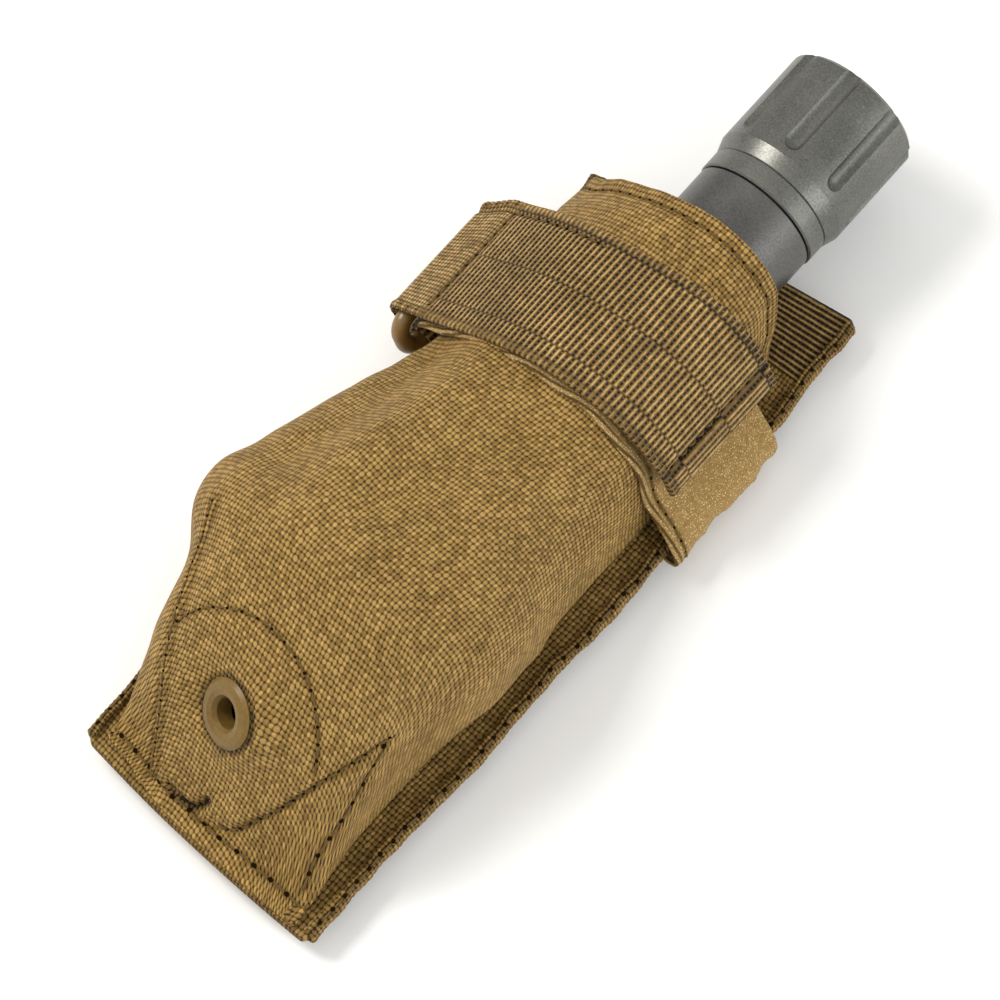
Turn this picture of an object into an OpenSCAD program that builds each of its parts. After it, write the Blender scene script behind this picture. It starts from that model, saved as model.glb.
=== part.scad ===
// Belt pouch with a hand torch carried inside it, lying on its back.
// +X runs across the pouch, +Y along it towards the torch's tail, +Z out of its front.
// The origin is the centre of the middle webbing row's outer face.

/* [Pouch] */
// Width of the back panel over its edge binding
panel_w = 57.5; // [57:0.25:59]
// Length of the back panel
panel_l = 157; // [156.5:0.5:158]
// Width of the carrying strap on the back
carry_w = 25.4; // [22:0.2:27]
// Width of the closure strap
closure_w = 30; // [26:0.5:30.5]
// Wall radius of the drain grommet's hole
drain_r = 2.9; // [2.4:0.1:3.2]

/* [Torch] */
// Radius of the plain barrel
barrel_r = 12.7; // [12.4:0.1:12.8]
// Radius of the fluted tail cap
cap_r = 14; // [13.6:0.1:14]
// Radius of the head
head_r = 13.5; // [13.2:0.1:13.5]
// Number of flutes around the tail cap
flute_count = 8; // [6:1:10]
// Travel of the tail button
press = 1.8; // [1:0.1:1.8]

/* [Hidden] */
$fn = 72;

coyote = [0.45, 0.34, 0.17];
webbing_tan = [0.52, 0.39, 0.20];
pile_tan = [0.50, 0.40, 0.22];
anodised = [0.33, 0.33, 0.34];
black = [0.06, 0.06, 0.06];

// Layers of the pouch, from the ground up.
row_t = 1.3;
carry_z = 1.5;
carry_t = 1.4;
panel_z = 4.2;
ply_t = 1.1;
front_z = panel_z + 2 * ply_t;
bind_t = 0.65;
panel_y = panel_l / 2;
ply_w = panel_w - 2 * bind_t;
row_l = 25;
row_pitch = 50.8;
row_half_w = 23;
lining_end = 59.5;
wall_t = 1.1;

// The snap at the carrying strap's lower end.
tab_y = -65;
tab_end = -77.6;
snap_y = -71.3;
snap_hole_r = 1.6;

// The closure strap and the loop strap centre on closure_y, and the ring on ring_y.
closure_y = 35;
ring_y = 33.8;
ring_r = 1.7;
ring_in = [-32.2, 5.55];
ring_out = [-34.9, 12.75];
ring_gap = norm(ring_out - ring_in);
ring_angle = atan2(ring_out[1] - ring_in[1], ring_out[0] - ring_in[0]);
ring_l = 31.4;
ring_corner = 3;
ring_strap_y = [20.2, 47.4];
tab_t = 1.25;
tab_gap = 0.35;
loop_t = 1.1;
closure_t = 1.3;
hook_t = 0.6;
hook_start = 15.5;

// The torch's axis, and places along it.
torch_x = 3.6;
torch_y = 2.4;
torch_z = front_z + 0.25 + head_r;
tail_end = 101.5;
cap_start = 72.5;
barrel_front = -26;
barrel_back = 84.5;
bore_r = 8.75;
thread_r = 11.2;
cap_bore_r = 11.45;
head_back = -18;
bezel_front = -52.5;
bezel_back = -45.5;
cell_r = 8.4;
cell_pitch = 34.5;
cells_start = -20;
switch_y = 86.9;
plunger_end = 93.9;
flute_w = 3.8;
flute_d = 0.9;
flute_r = (flute_w * flute_w / 4 + flute_d * flute_d) / (2 * flute_d);

// ---------------------------------------------------------------- curves
function mix(a, b, t) = a + (b - a) * t;

// A cubic Bezier curve through p[0] and p[3], as n + 1 points.
function bezier(p, n) = [for (i = [0:n]) let (t = i / n, s = 1 - t)
    s * s * s * p[0] + 3 * s * s * t * p[1] + 3 * s * t * t * p[2] + t * t * t * p[3]];

// Unit normal, to the left of the way the path runs.
function unit(v) = v / norm(v);
function normal_at(path, i) = let (
    a = path[max(i - 1, 0)],
    b = path[min(i + 1, len(path) - 1)],
    d = unit(b - a)) [-d[1], d[0]];

// A band's outline: the path moved to each side of itself.
function band(path, low, high) = concat(
    [for (i = [0:len(path) - 1]) path[i] + normal_at(path, i) * high],
    [for (i = [len(path) - 1:-1:0]) path[i] + normal_at(path, i) * low]);

// Draws a profile that lies in XZ, and extrudes it along Y about the given middle.
module across(middle, width) {
    translate([0, middle + width / 2, 0]) rotate([90, 0, 0]) linear_extrude(width) children();
}

// Puts a child drawn along +Z on the torch's axis, pointing at the tail.
module on_axis(y = 0) {
    translate([torch_x, y + torch_y, torch_z]) rotate([-90, 0, 0]) children();
}

module tube(r_out, r_in, length) {
    difference() {
        cylinder(r = r_out, h = length);
        translate([0, 0, -1]) cylinder(r = r_in, h = length + 2);
    }
}

// ---------------------------------------------------------------- pocket shape
// One row per station along the pocket, counted from its bottom seam: distance, left side,
// right side, crest's X, crest's height, height of the widest place, roundness.
stations = [
    [0, -27.2, 25.2, 3, 8, 7.6, 1],
    [6, -27.4, 24.6, 3, 16, 9, 1],
    [14, -28.8, 24.2, 2, 29, 12, 0.92],
    [24, -31.6, 24.6, 0, 38.6, 15, 0.85],
    [36, -36.2, 26.2, -2, 42.6, 17, 0.8],
    [46, -38.8, 27.6, -2, 43.6, 18, 0.78],
    [60, -37.2, 27.2, -0.5, 42.6, 17, 0.82],
    [74, -33.8, 25.4, 1.5, 39.6, 14, 0.9],
    [86, -30, 24.6, 3.8, 36.5, 10, 1],
    [96, -27.8, 24.2, 4.5, 35.4, 7.8, 1],
    [142.5, -27.8, 24.2, 4.5, 35.4, 7.8, 1]];
pocket_l = stations[len(stations) - 1][0];
mouth_u = stations[9][0];
base_l = -27.2;
base_r = 23;
lift_z = front_z + bind_t + 0.1;

function place(u, i = 0) = i >= len(stations) - 2 || u < stations[i + 1][0] ? i : place(u, i + 1);
function rise(i, k) = let (
    a = max(i - 1, 0),
    b = min(i + 1, len(stations) - 1))
    i == len(stations) - 1 ? 0 : (stations[b][k] - stations[a][k]) / (stations[b][0] - stations[a][0]);

// Value k at distance u, on a smooth curve through the stations.
function shape(u, k) = let (
    i = place(u),
    h = stations[i + 1][0] - stations[i][0],
    s = (u - stations[i][0]) / h,
    a = stations[i][k],
    b = stations[i + 1][k],
    c = i >= len(stations) - 2 ? 0 : rise(i, k) * h,
    d = i >= len(stations) - 3 ? 0 : rise(i + 1, k) * h)
    a * (2 * s ^ 3 - 3 * s ^ 2 + 1) + c * (s ^ 3 - 2 * s ^ 2 + s)
        + b * (3 * s ^ 2 - 2 * s ^ 3) + d * (s ^ 3 - s ^ 2);

side_steps = 4;
top_steps = 9;

// The pocket's outline at distance u, moved inwards by inset, from its left foot to its right.
// It rises straight past the edge binding before it widens.
function outline(u, inset, foot_z) = let (
    left = shape(u, 1) + inset,
    right = shape(u, 2) - inset,
    crest = shape(u, 3),
    top = shape(u, 4) - inset,
    waist = min(shape(u, 5), top - 0.3),
    power = shape(u, 6),
    foot_l = max(base_l, left - inset) + inset,
    foot_r = min(base_r, right + inset) - inset) concat(
    [[foot_l, foot_z]],
    [for (i = [0:side_steps - 1]) let (a = 90 - 90 * i / side_steps)
        [mix(foot_l, left, cos(a)), mix(waist, lift_z, sin(a))]],
    [for (i = [0:top_steps]) let (a = 90 * i / top_steps)
        [mix(crest, left, cos(a) ^ power), mix(waist, top, sin(a) ^ power)]],
    [for (i = [1:top_steps]) let (a = 90 - 90 * i / top_steps)
        [mix(crest, right, cos(a) ^ power), mix(waist, top, sin(a) ^ power)]],
    [for (i = [1:side_steps]) let (a = 90 * i / side_steps)
        [mix(foot_r, right, cos(a)), mix(waist, lift_z, sin(a))]],
    [[foot_r, foot_z]]);

// A closed solid through the outlines at the distances in list us.
module loft(us, inset, foot_z) {
    rings = [for (u = us) outline(u, inset, foot_z)];
    m = len(rings[0]);
    n = len(us);
    points = [for (i = [0:n - 1]) for (p = rings[i]) [p[0], us[i] - panel_y, p[1]]];
    sides = [for (i = [0:n - 2]) for (j = [0:m - 1]) for (f = [0, 1]) let (
        a = i * m + j,
        b = i * m + (j + 1) % m,
        c = a + m,
        d = b + m) f == 0 ? [a, d, b] : [a, c, d]];
    last = (n - 1) * m;
    half = (m - 1) / 2;
    ends = [for (j = [0:half - 1]) for (f = [0:3]) let (
        a = j,
        b = j + 1,
        c = m - 2 - j,
        d = m - 1 - j) if (b < c || f % 2 == 0)
        f == 0 ? [b, d, a] : f == 1 ? [c, d, b] : f == 2 ? [last + a, last + d, last + b]
            : [last + b, last + d, last + c]];
    polyhedron(points, concat(sides, ends), convexity = 6);
}

low_us = [0, 3, 6, 9, 12, 16, 20, 24, 30, 36, 41, 46, 53, 60, 67, 74, 80, 86, 91];
full_us = concat(low_us, [mouth_u, pocket_l]);
hollow_us = concat([1.6], [for (u = low_us) if (u > 2) u], [mouth_u, pocket_l + 2]);

// The drain grommet sits on the sloping bottom face, and points along drain_axis.
drain_u = 14.6;
drain_pos = [-4, drain_u - panel_y, shape(drain_u, 4) - 0.9];
drain_axis = unit([-0.36, -0.76, 0.54]);
patch_r = 8.2;

// Puts a child drawn along +Z at the drain, pointing out of the pocket.
module at_drain(out = 0) {
    translate(drain_pos + drain_axis * out)
        rotate([0, acos(drain_axis[2]), atan2(drain_axis[1], drain_axis[0])]) children();
}

// ---------------------------------------------------------------- pouch
module plate(w, y_low, y_high, r, t) {
    l = y_high - y_low;
    translate([0, (y_low + y_high) / 2, 0]) linear_extrude(t) union() {
        square([w - 2 * r, l], center = true);
        square([w, l - 2 * r], center = true);
        for (sx = [-1, 1]) for (sy = [-1, 1])
            translate([sx * (w / 2 - r), sy * (l / 2 - r)]) circle(r);
    }
}

module snap_drill() {
    translate([0, snap_y, 0]) cylinder(r = snap_hole_r, h = 20);
}

module back_panel() {
    color(coyote) difference() {
        translate([0, 0, panel_z]) plate(ply_w, -panel_y, panel_y, 1.5, ply_t);
        snap_drill();
    }
}

module panel_lining() {
    color(coyote) difference() {
        translate([0, 0, panel_z + ply_t]) plate(ply_w, -panel_y, lining_end, 1.5, ply_t);
        snap_drill();
    }
}

module top_webbing() {
    color(webbing_tan) translate([0, 0, panel_z + ply_t])
        plate(ply_w, lining_end + 0.1, panel_y, 1.5, ply_t);
}

// Tape folded around each long edge of the panel.
module edge_binding() {
    lip = 1.45;
    inner = ply_w / 2;
    color(coyote) for (side = [-1, 1]) across(0, panel_l - 3)
        polygon([for (p = [
            [inner + bind_t - lip, panel_z - bind_t],
            [inner + bind_t, panel_z - bind_t],
            [inner + bind_t, front_z + bind_t],
            [inner + bind_t - lip, front_z + bind_t],
            [inner + bind_t - lip, front_z],
            [inner, front_z],
            [inner, panel_z],
            [inner + bind_t - lip, panel_z]]) [side * p[0], p[1]]]);
}

// Webbing sewn down at both ends, with its middle standing off for the carrying strap.
module webbing_row(y) {
    lift = panel_z - row_t;
    half = carry_w / 2 + 1.3;
    color(webbing_tan) across(y, row_l) polygon([
        [-row_half_w, lift], [-half - 4, lift], [-half, 0],
        [half, 0], [half + 4, lift], [row_half_w, lift],
        [row_half_w, panel_z], [half + 3.4, panel_z], [half - 0.6, row_t],
        [-half + 0.6, row_t], [-half - 3.4, panel_z], [-row_half_w, panel_z]]);
}

module upper_row() webbing_row(row_pitch);
module middle_row() webbing_row(0);
module lower_row() webbing_row(-row_pitch);

// Runs under the rows, and is folded and sewn to the panel at its upper end.
module carry_strap() {
    color(webbing_tan) union() {
        translate([-carry_w / 2, tab_y, carry_z]) cube([carry_w, 72 - tab_y, carry_t]);
        translate([-carry_w / 2, 65, carry_z]) cube([carry_w, 7, panel_z - carry_z]);
    }
}

module snap_stud() {
    color(coyote) translate([0, snap_y, 0]) union() {
        translate([0, 0, 3.35]) cylinder(r = 2.6, h = panel_z - 3.38);
        translate([0, 0, 4]) cylinder(r = 1.5, h = front_z - 3.8);
        translate([0, 0, front_z + 0.05]) cylinder(r = 4.6, h = 0.6);
    }
}

module pocket_front() {
    color(coyote) difference() {
        loft(full_us, 0, front_z);
        loft(hollow_us, wall_t, front_z - 1);
        at_drain(-8) cylinder(r = patch_r + 0.2, h = 14);
    }
}

module grommet_patch() {
    color(coyote) at_drain(-1.6) tube(patch_r, drain_r + 0.7, 2.2);
}

module drain_grommet() {
    color([0.42, 0.32, 0.18]) at_drain() rotate_extrude() polygon([
        [drain_r, -2.6], [drain_r + 0.65, -2.6], [drain_r + 0.65, 0.65],
        [6.5, 0.65], [6.6, 0.9], [5.9, 1.5], [4.6, 1.75], [3.5, 1.5], [drain_r, 0.7]]);
}

module grommet_washer() {
    color([0.42, 0.32, 0.18]) at_drain(-2.3) tube(6.6, drain_r + 0.68, 0.65);
}

// ---------------------------------------------------------------- closure
// Webbing folded around the ring's inner bar and sewn under the panel's left edge.
module ring_tab() {
    low = ring_r + tab_gap;
    color(webbing_tan) across(ring_y + 0.2, 25) difference() {
        union() {
            translate(ring_in) circle(low + tab_t);
            translate([ring_in[0], ring_in[1] - low - tab_t]) square([8.7, tab_t]);
        }
        translate(ring_in) circle(low);
    }
}

// The loop strap's middle line: from behind the right edge, round it, and over the pocket.
loop_gap = 0.15 + loop_t / 2;
loop_steps = 16;
arch_x = stations[9][3];
arch_l = arch_x - stations[9][1];
arch_r = stations[9][2] - arch_x;
arch_z = stations[9][5];
arch_h = stations[9][4] - arch_z;
function over_arch(a, side, out) =
    [arch_x + side * (out + (side < 0 ? arch_l : arch_r)) * cos(a), arch_z + (arch_h + out) * sin(a)];
loop_leave = 24;
loop_right = over_arch(loop_leave, 1, loop_gap);
loop_path = concat(
    [[24.6, 2.8], [27.5, 2.75]],
    bezier([[29.4, 2.75], [31.4, 2.75], [32.6, 4], [32.6, 6.6]], 6),
    [for (p = bezier([[32.6, 6.6], [32.6, 12], [24.9, 13.6], loop_right], 8)) if (p[1] > 6.7) p],
    [for (i = [1:loop_steps]) over_arch(mix(loop_leave, 90, i / loop_steps), 1, loop_gap)],
    [for (i = [1:loop_steps - 2]) over_arch(mix(90, 44, i / (loop_steps - 2)), -1, loop_gap)],
    [[-23.9, 23], [-28.4, 18.6], [-30.7, 16.4]]);

module loop_strap() {
    color(pile_tan) across(closure_y - 0.5, closure_w + 1)
        polygon(band(loop_path, -loop_t / 2, loop_t / 2));
}

// A plastic loop: a round bar bent to a rectangle with rounded corners.
module strap_ring() {
    // Whole hundredths, so that bars and corners meet exactly.
    bar_x = round(ring_gap * 50) / 100;
    bar_y = ring_l / 2 - ring_corner;
    end_x = bar_x - ring_corner;
    color([0.40, 0.31, 0.17]) translate([ring_in[0], ring_y, ring_in[1]])
        rotate([0, -ring_angle, 0]) translate([ring_gap / 2, 0, 0]) union() {
            for (s = [-1, 1]) {
                translate([s * bar_x, bar_y, 0])
                    rotate([90, 0, 0]) cylinder(r = ring_r, h = 2 * bar_y);
                translate([-end_x, s * ring_l / 2, 0])
                    rotate([0, 90, 0]) cylinder(r = ring_r, h = 2 * end_x);
            }
            for (i = [0:3]) let (sx = i == 0 || i == 3 ? 1 : -1, sy = i < 2 ? 1 : -1)
                translate([sx * end_x, sy * bar_y, 0]) rotate([0, 0, 90 * i])
                    rotate_extrude(angle = 90) translate([ring_corner, 0]) circle(ring_r, $fn = 40);
        }
}

// The closure strap's middle line: round the ring's outer bar, then over the loop strap.
hook_r = ring_r + 0.35 + closure_t / 2;
function round_bar(a) = ring_out + hook_r * [cos(a), sin(a)];
crest_z = stations[9][4] + 0.15 + loop_t + 0.45 + closure_t / 2;
closure_path = concat(
    [for (i = [0:8]) round_bar(mix(285, 130, i / 8))],
    [for (p = bezier([round_bar(130), round_bar(130) + 18 * [cos(40), sin(40)],
        [arch_x - 17, crest_z], [arch_x, crest_z]], 14)) if (p[0] > ring_out[0] - 0.9) p],
    [for (p = bezier([[arch_x, crest_z], [arch_x + 11, crest_z],
        [23.6, 30.2], [26.8, 20]], 14)) if (p[0] > arch_x + 0.1) p]);

module closure_strap() {
    low = closure_y - closure_w / 2;
    high = closure_y + closure_w / 2;
    color(webbing_tan) intersection() {
        across(closure_y, closure_w)
            polygon(band(closure_path, -closure_t / 2, closure_t / 2));
        // It is drawn in to pass through the ring.
        translate([0, 0, -10]) linear_extrude(80) polygon([
            [-60, ring_strap_y[0]], [-29.5, ring_strap_y[0]], [-26.5, low - 1], [60, low - 1],
            [60, high + 1], [-26.5, high + 1], [-29.5, ring_strap_y[1]], [-60, ring_strap_y[1]]]);
    }
}

// Hook tape under the closure strap's free end.
module hook_patch() {
    path = [for (p = closure_path) if (p[0] > hook_start) p];
    color(black) across(closure_y, closure_w - 5)
        polygon(band(path, -closure_t / 2 - hook_t, -closure_t / 2));
}

// ---------------------------------------------------------------- snap tab
module snap_tab() {
    color(webbing_tan) difference() {
        translate([0, 0, carry_z]) linear_extrude(carry_t) union() {
            translate([-carry_w / 2, tab_end + 4]) square([carry_w, tab_y - 0.4 - tab_end - 4]);
            translate([-carry_w / 2 + 4, tab_end]) square([carry_w - 8, 6]);
            for (s = [-1, 1]) translate([s * (carry_w / 2 - 4), tab_end + 4]) circle(4);
        }
        snap_drill();
    }
}

module snap_cap() {
    color([0.35, 0.28, 0.16]) translate([0, snap_y, 0]) rotate_extrude() polygon([
        [0, 0.15], [3.4, 0.2], [5.2, 0.42], [6.05, 0.85], [6.25, 1.3], [6.25, 1.48],
        [1.5, 1.48], [1.5, 3.1], [0, 3.1]]);
}

module snap_socket() {
    color([0.35, 0.28, 0.16]) translate([0, snap_y, 0]) rotate_extrude() polygon([
        [1.52, 2.92], [5.3, 2.92], [5.3, 3.75], [5, 3.95], [3.6, 3.95], [3.4, 3.75],
        [3.4, 3.12], [1.52, 3.12]]);
}

// ---------------------------------------------------------------- torch
module barrel() {
    neck_r = 9.9;
    color(anodised) on_axis() rotate_extrude() polygon([
        [bore_r, barrel_front], [thread_r - 0.4, barrel_front], [thread_r, barrel_front + 0.4],
        [thread_r, head_back - 2.4], [neck_r, head_back - 2.4], [neck_r, head_back - 0.6],
        [thread_r, head_back - 0.6], [thread_r, head_back + 0.2],
        [barrel_r - 0.3, head_back + 0.2], [barrel_r, head_back + 0.5],
        [barrel_r, cap_start - 0.5], [barrel_r - 0.3, cap_start - 0.2],
        [thread_r, cap_start - 0.2], [thread_r, cap_start + 2.2], [neck_r, cap_start + 2.2],
        [neck_r, cap_start + 4], [thread_r, cap_start + 4],
        [thread_r, barrel_back - 0.4], [thread_r - 0.4, barrel_back], [bore_r, barrel_back]]);
}

// Three cells in line, each with its raised contact towards the head.
module cells() {
    nub = 1;
    color([0.16, 0.22, 0.2]) for (i = [0:2]) on_axis(cells_start + i * cell_pitch) union() {
        cylinder(r = 3.2, h = nub + 0.1);
        translate([0, 0, nub]) cylinder(r = cell_r, h = cell_pitch - nub - 0.05);
    }
}

module seal(y) {
    minor = 0.72;
    color(black) on_axis(y) rotate_extrude() translate([10.65, 0]) circle(minor, $fn = 24);
}

module tail_oring() seal(cap_start + 3.1);
module head_oring() seal(head_back - 1.5);

// A wire coil that widens from r_low to r_high, as one swept solid.
module coil(r_low, r_high, height, turns, wire) {
    sides = 6;
    steps = round(turns * 14);
    points = [for (i = [0:steps]) let (
        t = i / steps,
        a = 360 * turns * t,
        r = mix(r_low, r_high, t),
        z = mix(wire, height - wire, t)) for (j = [0:sides - 1]) let (b = 360 * j / sides)
        [(r + wire * cos(b)) * cos(a), (r + wire * cos(b)) * sin(a), z + wire * sin(b)]];
    skin = [for (i = [0:steps - 1]) for (j = [0:sides - 1]) for (f = [0, 1]) let (
        k = (j + 1) % sides,
        a = i * sides + j,
        b = i * sides + k) f == 0 ? [a, b + sides, a + sides] : [a, b, b + sides]];
    ends = [[for (j = [sides - 1:-1:0]) j], [for (j = [0:sides - 1]) steps * sides + j]];
    polyhedron(points, concat(skin, ends), convexity = 8);
}

module tail_spring() {
    color([0.7, 0.68, 0.6]) on_axis(83.7) coil(3.2, 6.2, 3, 2.5, 0.35);
}

module switch_module() {
    color(black) on_axis(switch_y) union() {
        cylinder(r = cap_bore_r - 0.5, h = 4.8);
        translate([0, 0, 4.7]) cylinder(r = 2.5, h = plunger_end - switch_y - 4.7);
    }
}

// Collar, short cone and fluted grip, with a recess in the end for the button.
module tail_cap() {
    floor_y = tail_end - 2;
    shelf_y = 97.3;
    color([0.45, 0.45, 0.43]) on_axis() difference() {
        rotate_extrude() polygon([
            [cap_bore_r, cap_start], [cap_r - 1.3, cap_start], [cap_r - 1, cap_start + 0.3],
            [cap_r - 1, 76.6], [cap_r - 1.25, 76.8], [cap_r - 1, 77],
            [cap_r, 80], [cap_r, tail_end - 0.7], [cap_r - 0.7, tail_end], [9.8, tail_end],
            [9.4, floor_y], [6.8, floor_y], [6.8, shelf_y], [cap_bore_r, shelf_y]]);
        for (i = [0:flute_count - 1]) rotate([0, 0, 360 * i / flute_count])
            translate([cap_r - flute_d + flute_r, 0, 81.5 + flute_w / 2]) {
                cylinder(r = flute_r, h = 30, $fn = 40);
                sphere(r = flute_r, $fn = 40);
            }
    }
}

module switch_retainer() {
    color([0.6, 0.6, 0.58]) on_axis(92) difference() {
        cylinder(r = cap_bore_r - 0.02, h = 1.9);
        translate([0, 0, -1]) cylinder(r = 3.2, h = 4);
        for (s = [-1, 1]) translate([s * 7.5, 0, -1]) cylinder(r = 1, h = 4);
    }
}

// Rubber button: a flange behind the cap's shelf and a dome in its recess. Pressed all the way,
// the flange stops just short of the switch's plunger.
module switch_boot() {
    boot_y = plunger_end + press + 0.2;
    color(black) on_axis() rotate_extrude() polygon([
        [0, boot_y], [8.9, boot_y], [8.9, boot_y + 1.1], [6.4, boot_y + 1.1], [6.4, 99.9],
        [5.9, 100.7], [4.4, 101.15], [2.2, 101.35], [0, 101.4]]);
}

module lamp_pill() {
    color([0.72, 0.58, 0.3]) on_axis(-31.5) difference() {
        cylinder(r = 11.1, h = 5.2);
        translate([0, 0, 1.5]) cylinder(r = 8.2, h = 5);
    }
}

module driver_board() {
    color([0.1, 0.3, 0.15]) on_axis(-27.5) cylinder(r = 8.1, h = 1.2);
}

module emitter_board() {
    color([0.85, 0.8, 0.4]) on_axis(-33) union() {
        translate([0, 0, 0.3]) cylinder(r = 8, h = 1.2);
        translate([-1.75, -1.75, -0.3]) cube([3.5, 3.5, 0.7]);
        translate([0, 0, -0.2]) sphere(r = 1.4, $fn = 32);
    }
}

module head_spring() {
    color([0.7, 0.68, 0.6]) on_axis(-26.2) coil(5, 2.6, 6, 3.5, 0.35);
}

module head_shell() {
    neck_r = head_r - 0.95;
    color(anodised) on_axis() difference() {
        rotate_extrude() polygon([
            [11.4, head_back], [barrel_r - 0.2, head_back], [barrel_r, head_back - 0.3],
            [head_r, head_back - 3], [head_r, bezel_back + 0.3], [head_r - 0.25, bezel_back],
            [neck_r, bezel_back], [neck_r, -49.2], [11.75, -49.2], [11.75, -33.5], [11.4, -33.5]]);
        for (i = [0:2]) translate([0, 0, -25.5 - 3 * i])
            tube(head_r + 1, head_r - 1.1, 1.3);
    }
}

// A polished cup whose wall follows a parabola.
module reflector() {
    rear = -33.4;
    depth = 13.4;
    hole_r = 3;
    rim_r = 10.9;
    steps = 14;
    color([0.85, 0.85, 0.87]) on_axis() rotate_extrude() polygon(concat(
        [for (i = [0:steps]) let (t = i / steps)
            [mix(hole_r, rim_r, sqrt(t)), rear - depth * t]],
        [[11.6, rear - depth], [11.6, rear - depth + 1.4]],
        [for (i = [steps:-1:0]) let (t = i / steps)
            [min(mix(hole_r, rim_r, sqrt(t)) + 0.7, 11.6), rear - depth * t * 0.86 + 0.4]]));
}

module lens() {
    color([0.8, 0.9, 0.95]) on_axis(-48.4) cylinder(r = 11.6, h = 1.55);
}

module lens_gasket() {
    color(black) on_axis(-49.3) tube(11.65, 10.4, 0.85);
}

module bezel_ring() {
    notch_count = 6;
    color(anodised) on_axis() difference() {
        rotate_extrude() polygon([
            [head_r - 0.85, bezel_back - 0.1], [head_r - 0.25, bezel_back - 0.1],
            [head_r, bezel_back - 0.4], [head_r, bezel_front + 0.8], [head_r - 0.8, bezel_front],
            [11, bezel_front], [10.4, bezel_front + 0.6], [10.4, -49.4], [head_r - 0.85, -49.4]]);
        for (i = [0:notch_count - 1]) rotate([0, 0, 360 * i / notch_count])
            translate([head_r - 1, 0, bezel_front - 1]) rotate([0, 90, 0])
                cylinder(r = 2.3, h = 8, center = true, $fn = 32);
    }
}

back_panel();
panel_lining();
top_webbing();
edge_binding();
upper_row();
middle_row();
lower_row();
carry_strap();
snap_stud();
pocket_front();
grommet_patch();
drain_grommet();
grommet_washer();
ring_tab();
loop_strap();
strap_ring();
closure_strap();
hook_patch();
snap_tab();
snap_cap();
snap_socket();
barrel();
cells();
tail_oring();
head_oring();
switch_module();
tail_spring();
tail_cap();
switch_retainer();
switch_boot();
lamp_pill();
driver_board();
emitter_board();
head_spring();
head_shell();
reflector();
lens();
lens_gasket();
bezel_ring();
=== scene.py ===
"""Looks for the belt pouch and its hand torch: cloth, webbing, stitching, metal and plastic.
Lengths in this file are millimetres until a mesh is made, and metres from then on."""

import math

import bpy
import numpy as np
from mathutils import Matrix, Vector


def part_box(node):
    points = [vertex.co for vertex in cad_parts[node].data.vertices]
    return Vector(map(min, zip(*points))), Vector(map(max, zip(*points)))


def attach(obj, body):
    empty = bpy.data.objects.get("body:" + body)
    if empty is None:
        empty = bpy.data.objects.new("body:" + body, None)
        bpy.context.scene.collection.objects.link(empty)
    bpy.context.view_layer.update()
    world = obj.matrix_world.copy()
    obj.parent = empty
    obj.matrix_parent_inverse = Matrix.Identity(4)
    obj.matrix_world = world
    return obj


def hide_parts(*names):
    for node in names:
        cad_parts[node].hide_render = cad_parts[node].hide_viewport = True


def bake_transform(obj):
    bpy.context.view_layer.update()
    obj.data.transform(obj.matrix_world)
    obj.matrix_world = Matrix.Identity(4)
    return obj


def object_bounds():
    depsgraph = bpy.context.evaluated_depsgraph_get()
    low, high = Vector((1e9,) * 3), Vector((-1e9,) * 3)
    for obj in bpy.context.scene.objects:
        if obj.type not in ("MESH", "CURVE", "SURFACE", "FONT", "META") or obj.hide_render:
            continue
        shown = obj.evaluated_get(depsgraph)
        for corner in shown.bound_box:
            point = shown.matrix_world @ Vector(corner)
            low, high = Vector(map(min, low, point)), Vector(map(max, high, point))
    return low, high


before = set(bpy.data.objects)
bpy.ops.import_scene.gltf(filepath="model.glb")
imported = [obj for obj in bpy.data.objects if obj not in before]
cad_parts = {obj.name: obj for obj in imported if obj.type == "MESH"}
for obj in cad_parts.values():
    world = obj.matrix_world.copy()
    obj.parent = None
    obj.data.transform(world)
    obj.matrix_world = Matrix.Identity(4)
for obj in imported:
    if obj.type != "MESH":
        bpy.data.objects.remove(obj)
cad_box = [list(corner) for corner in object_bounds()]
MM = 0.001


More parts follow.
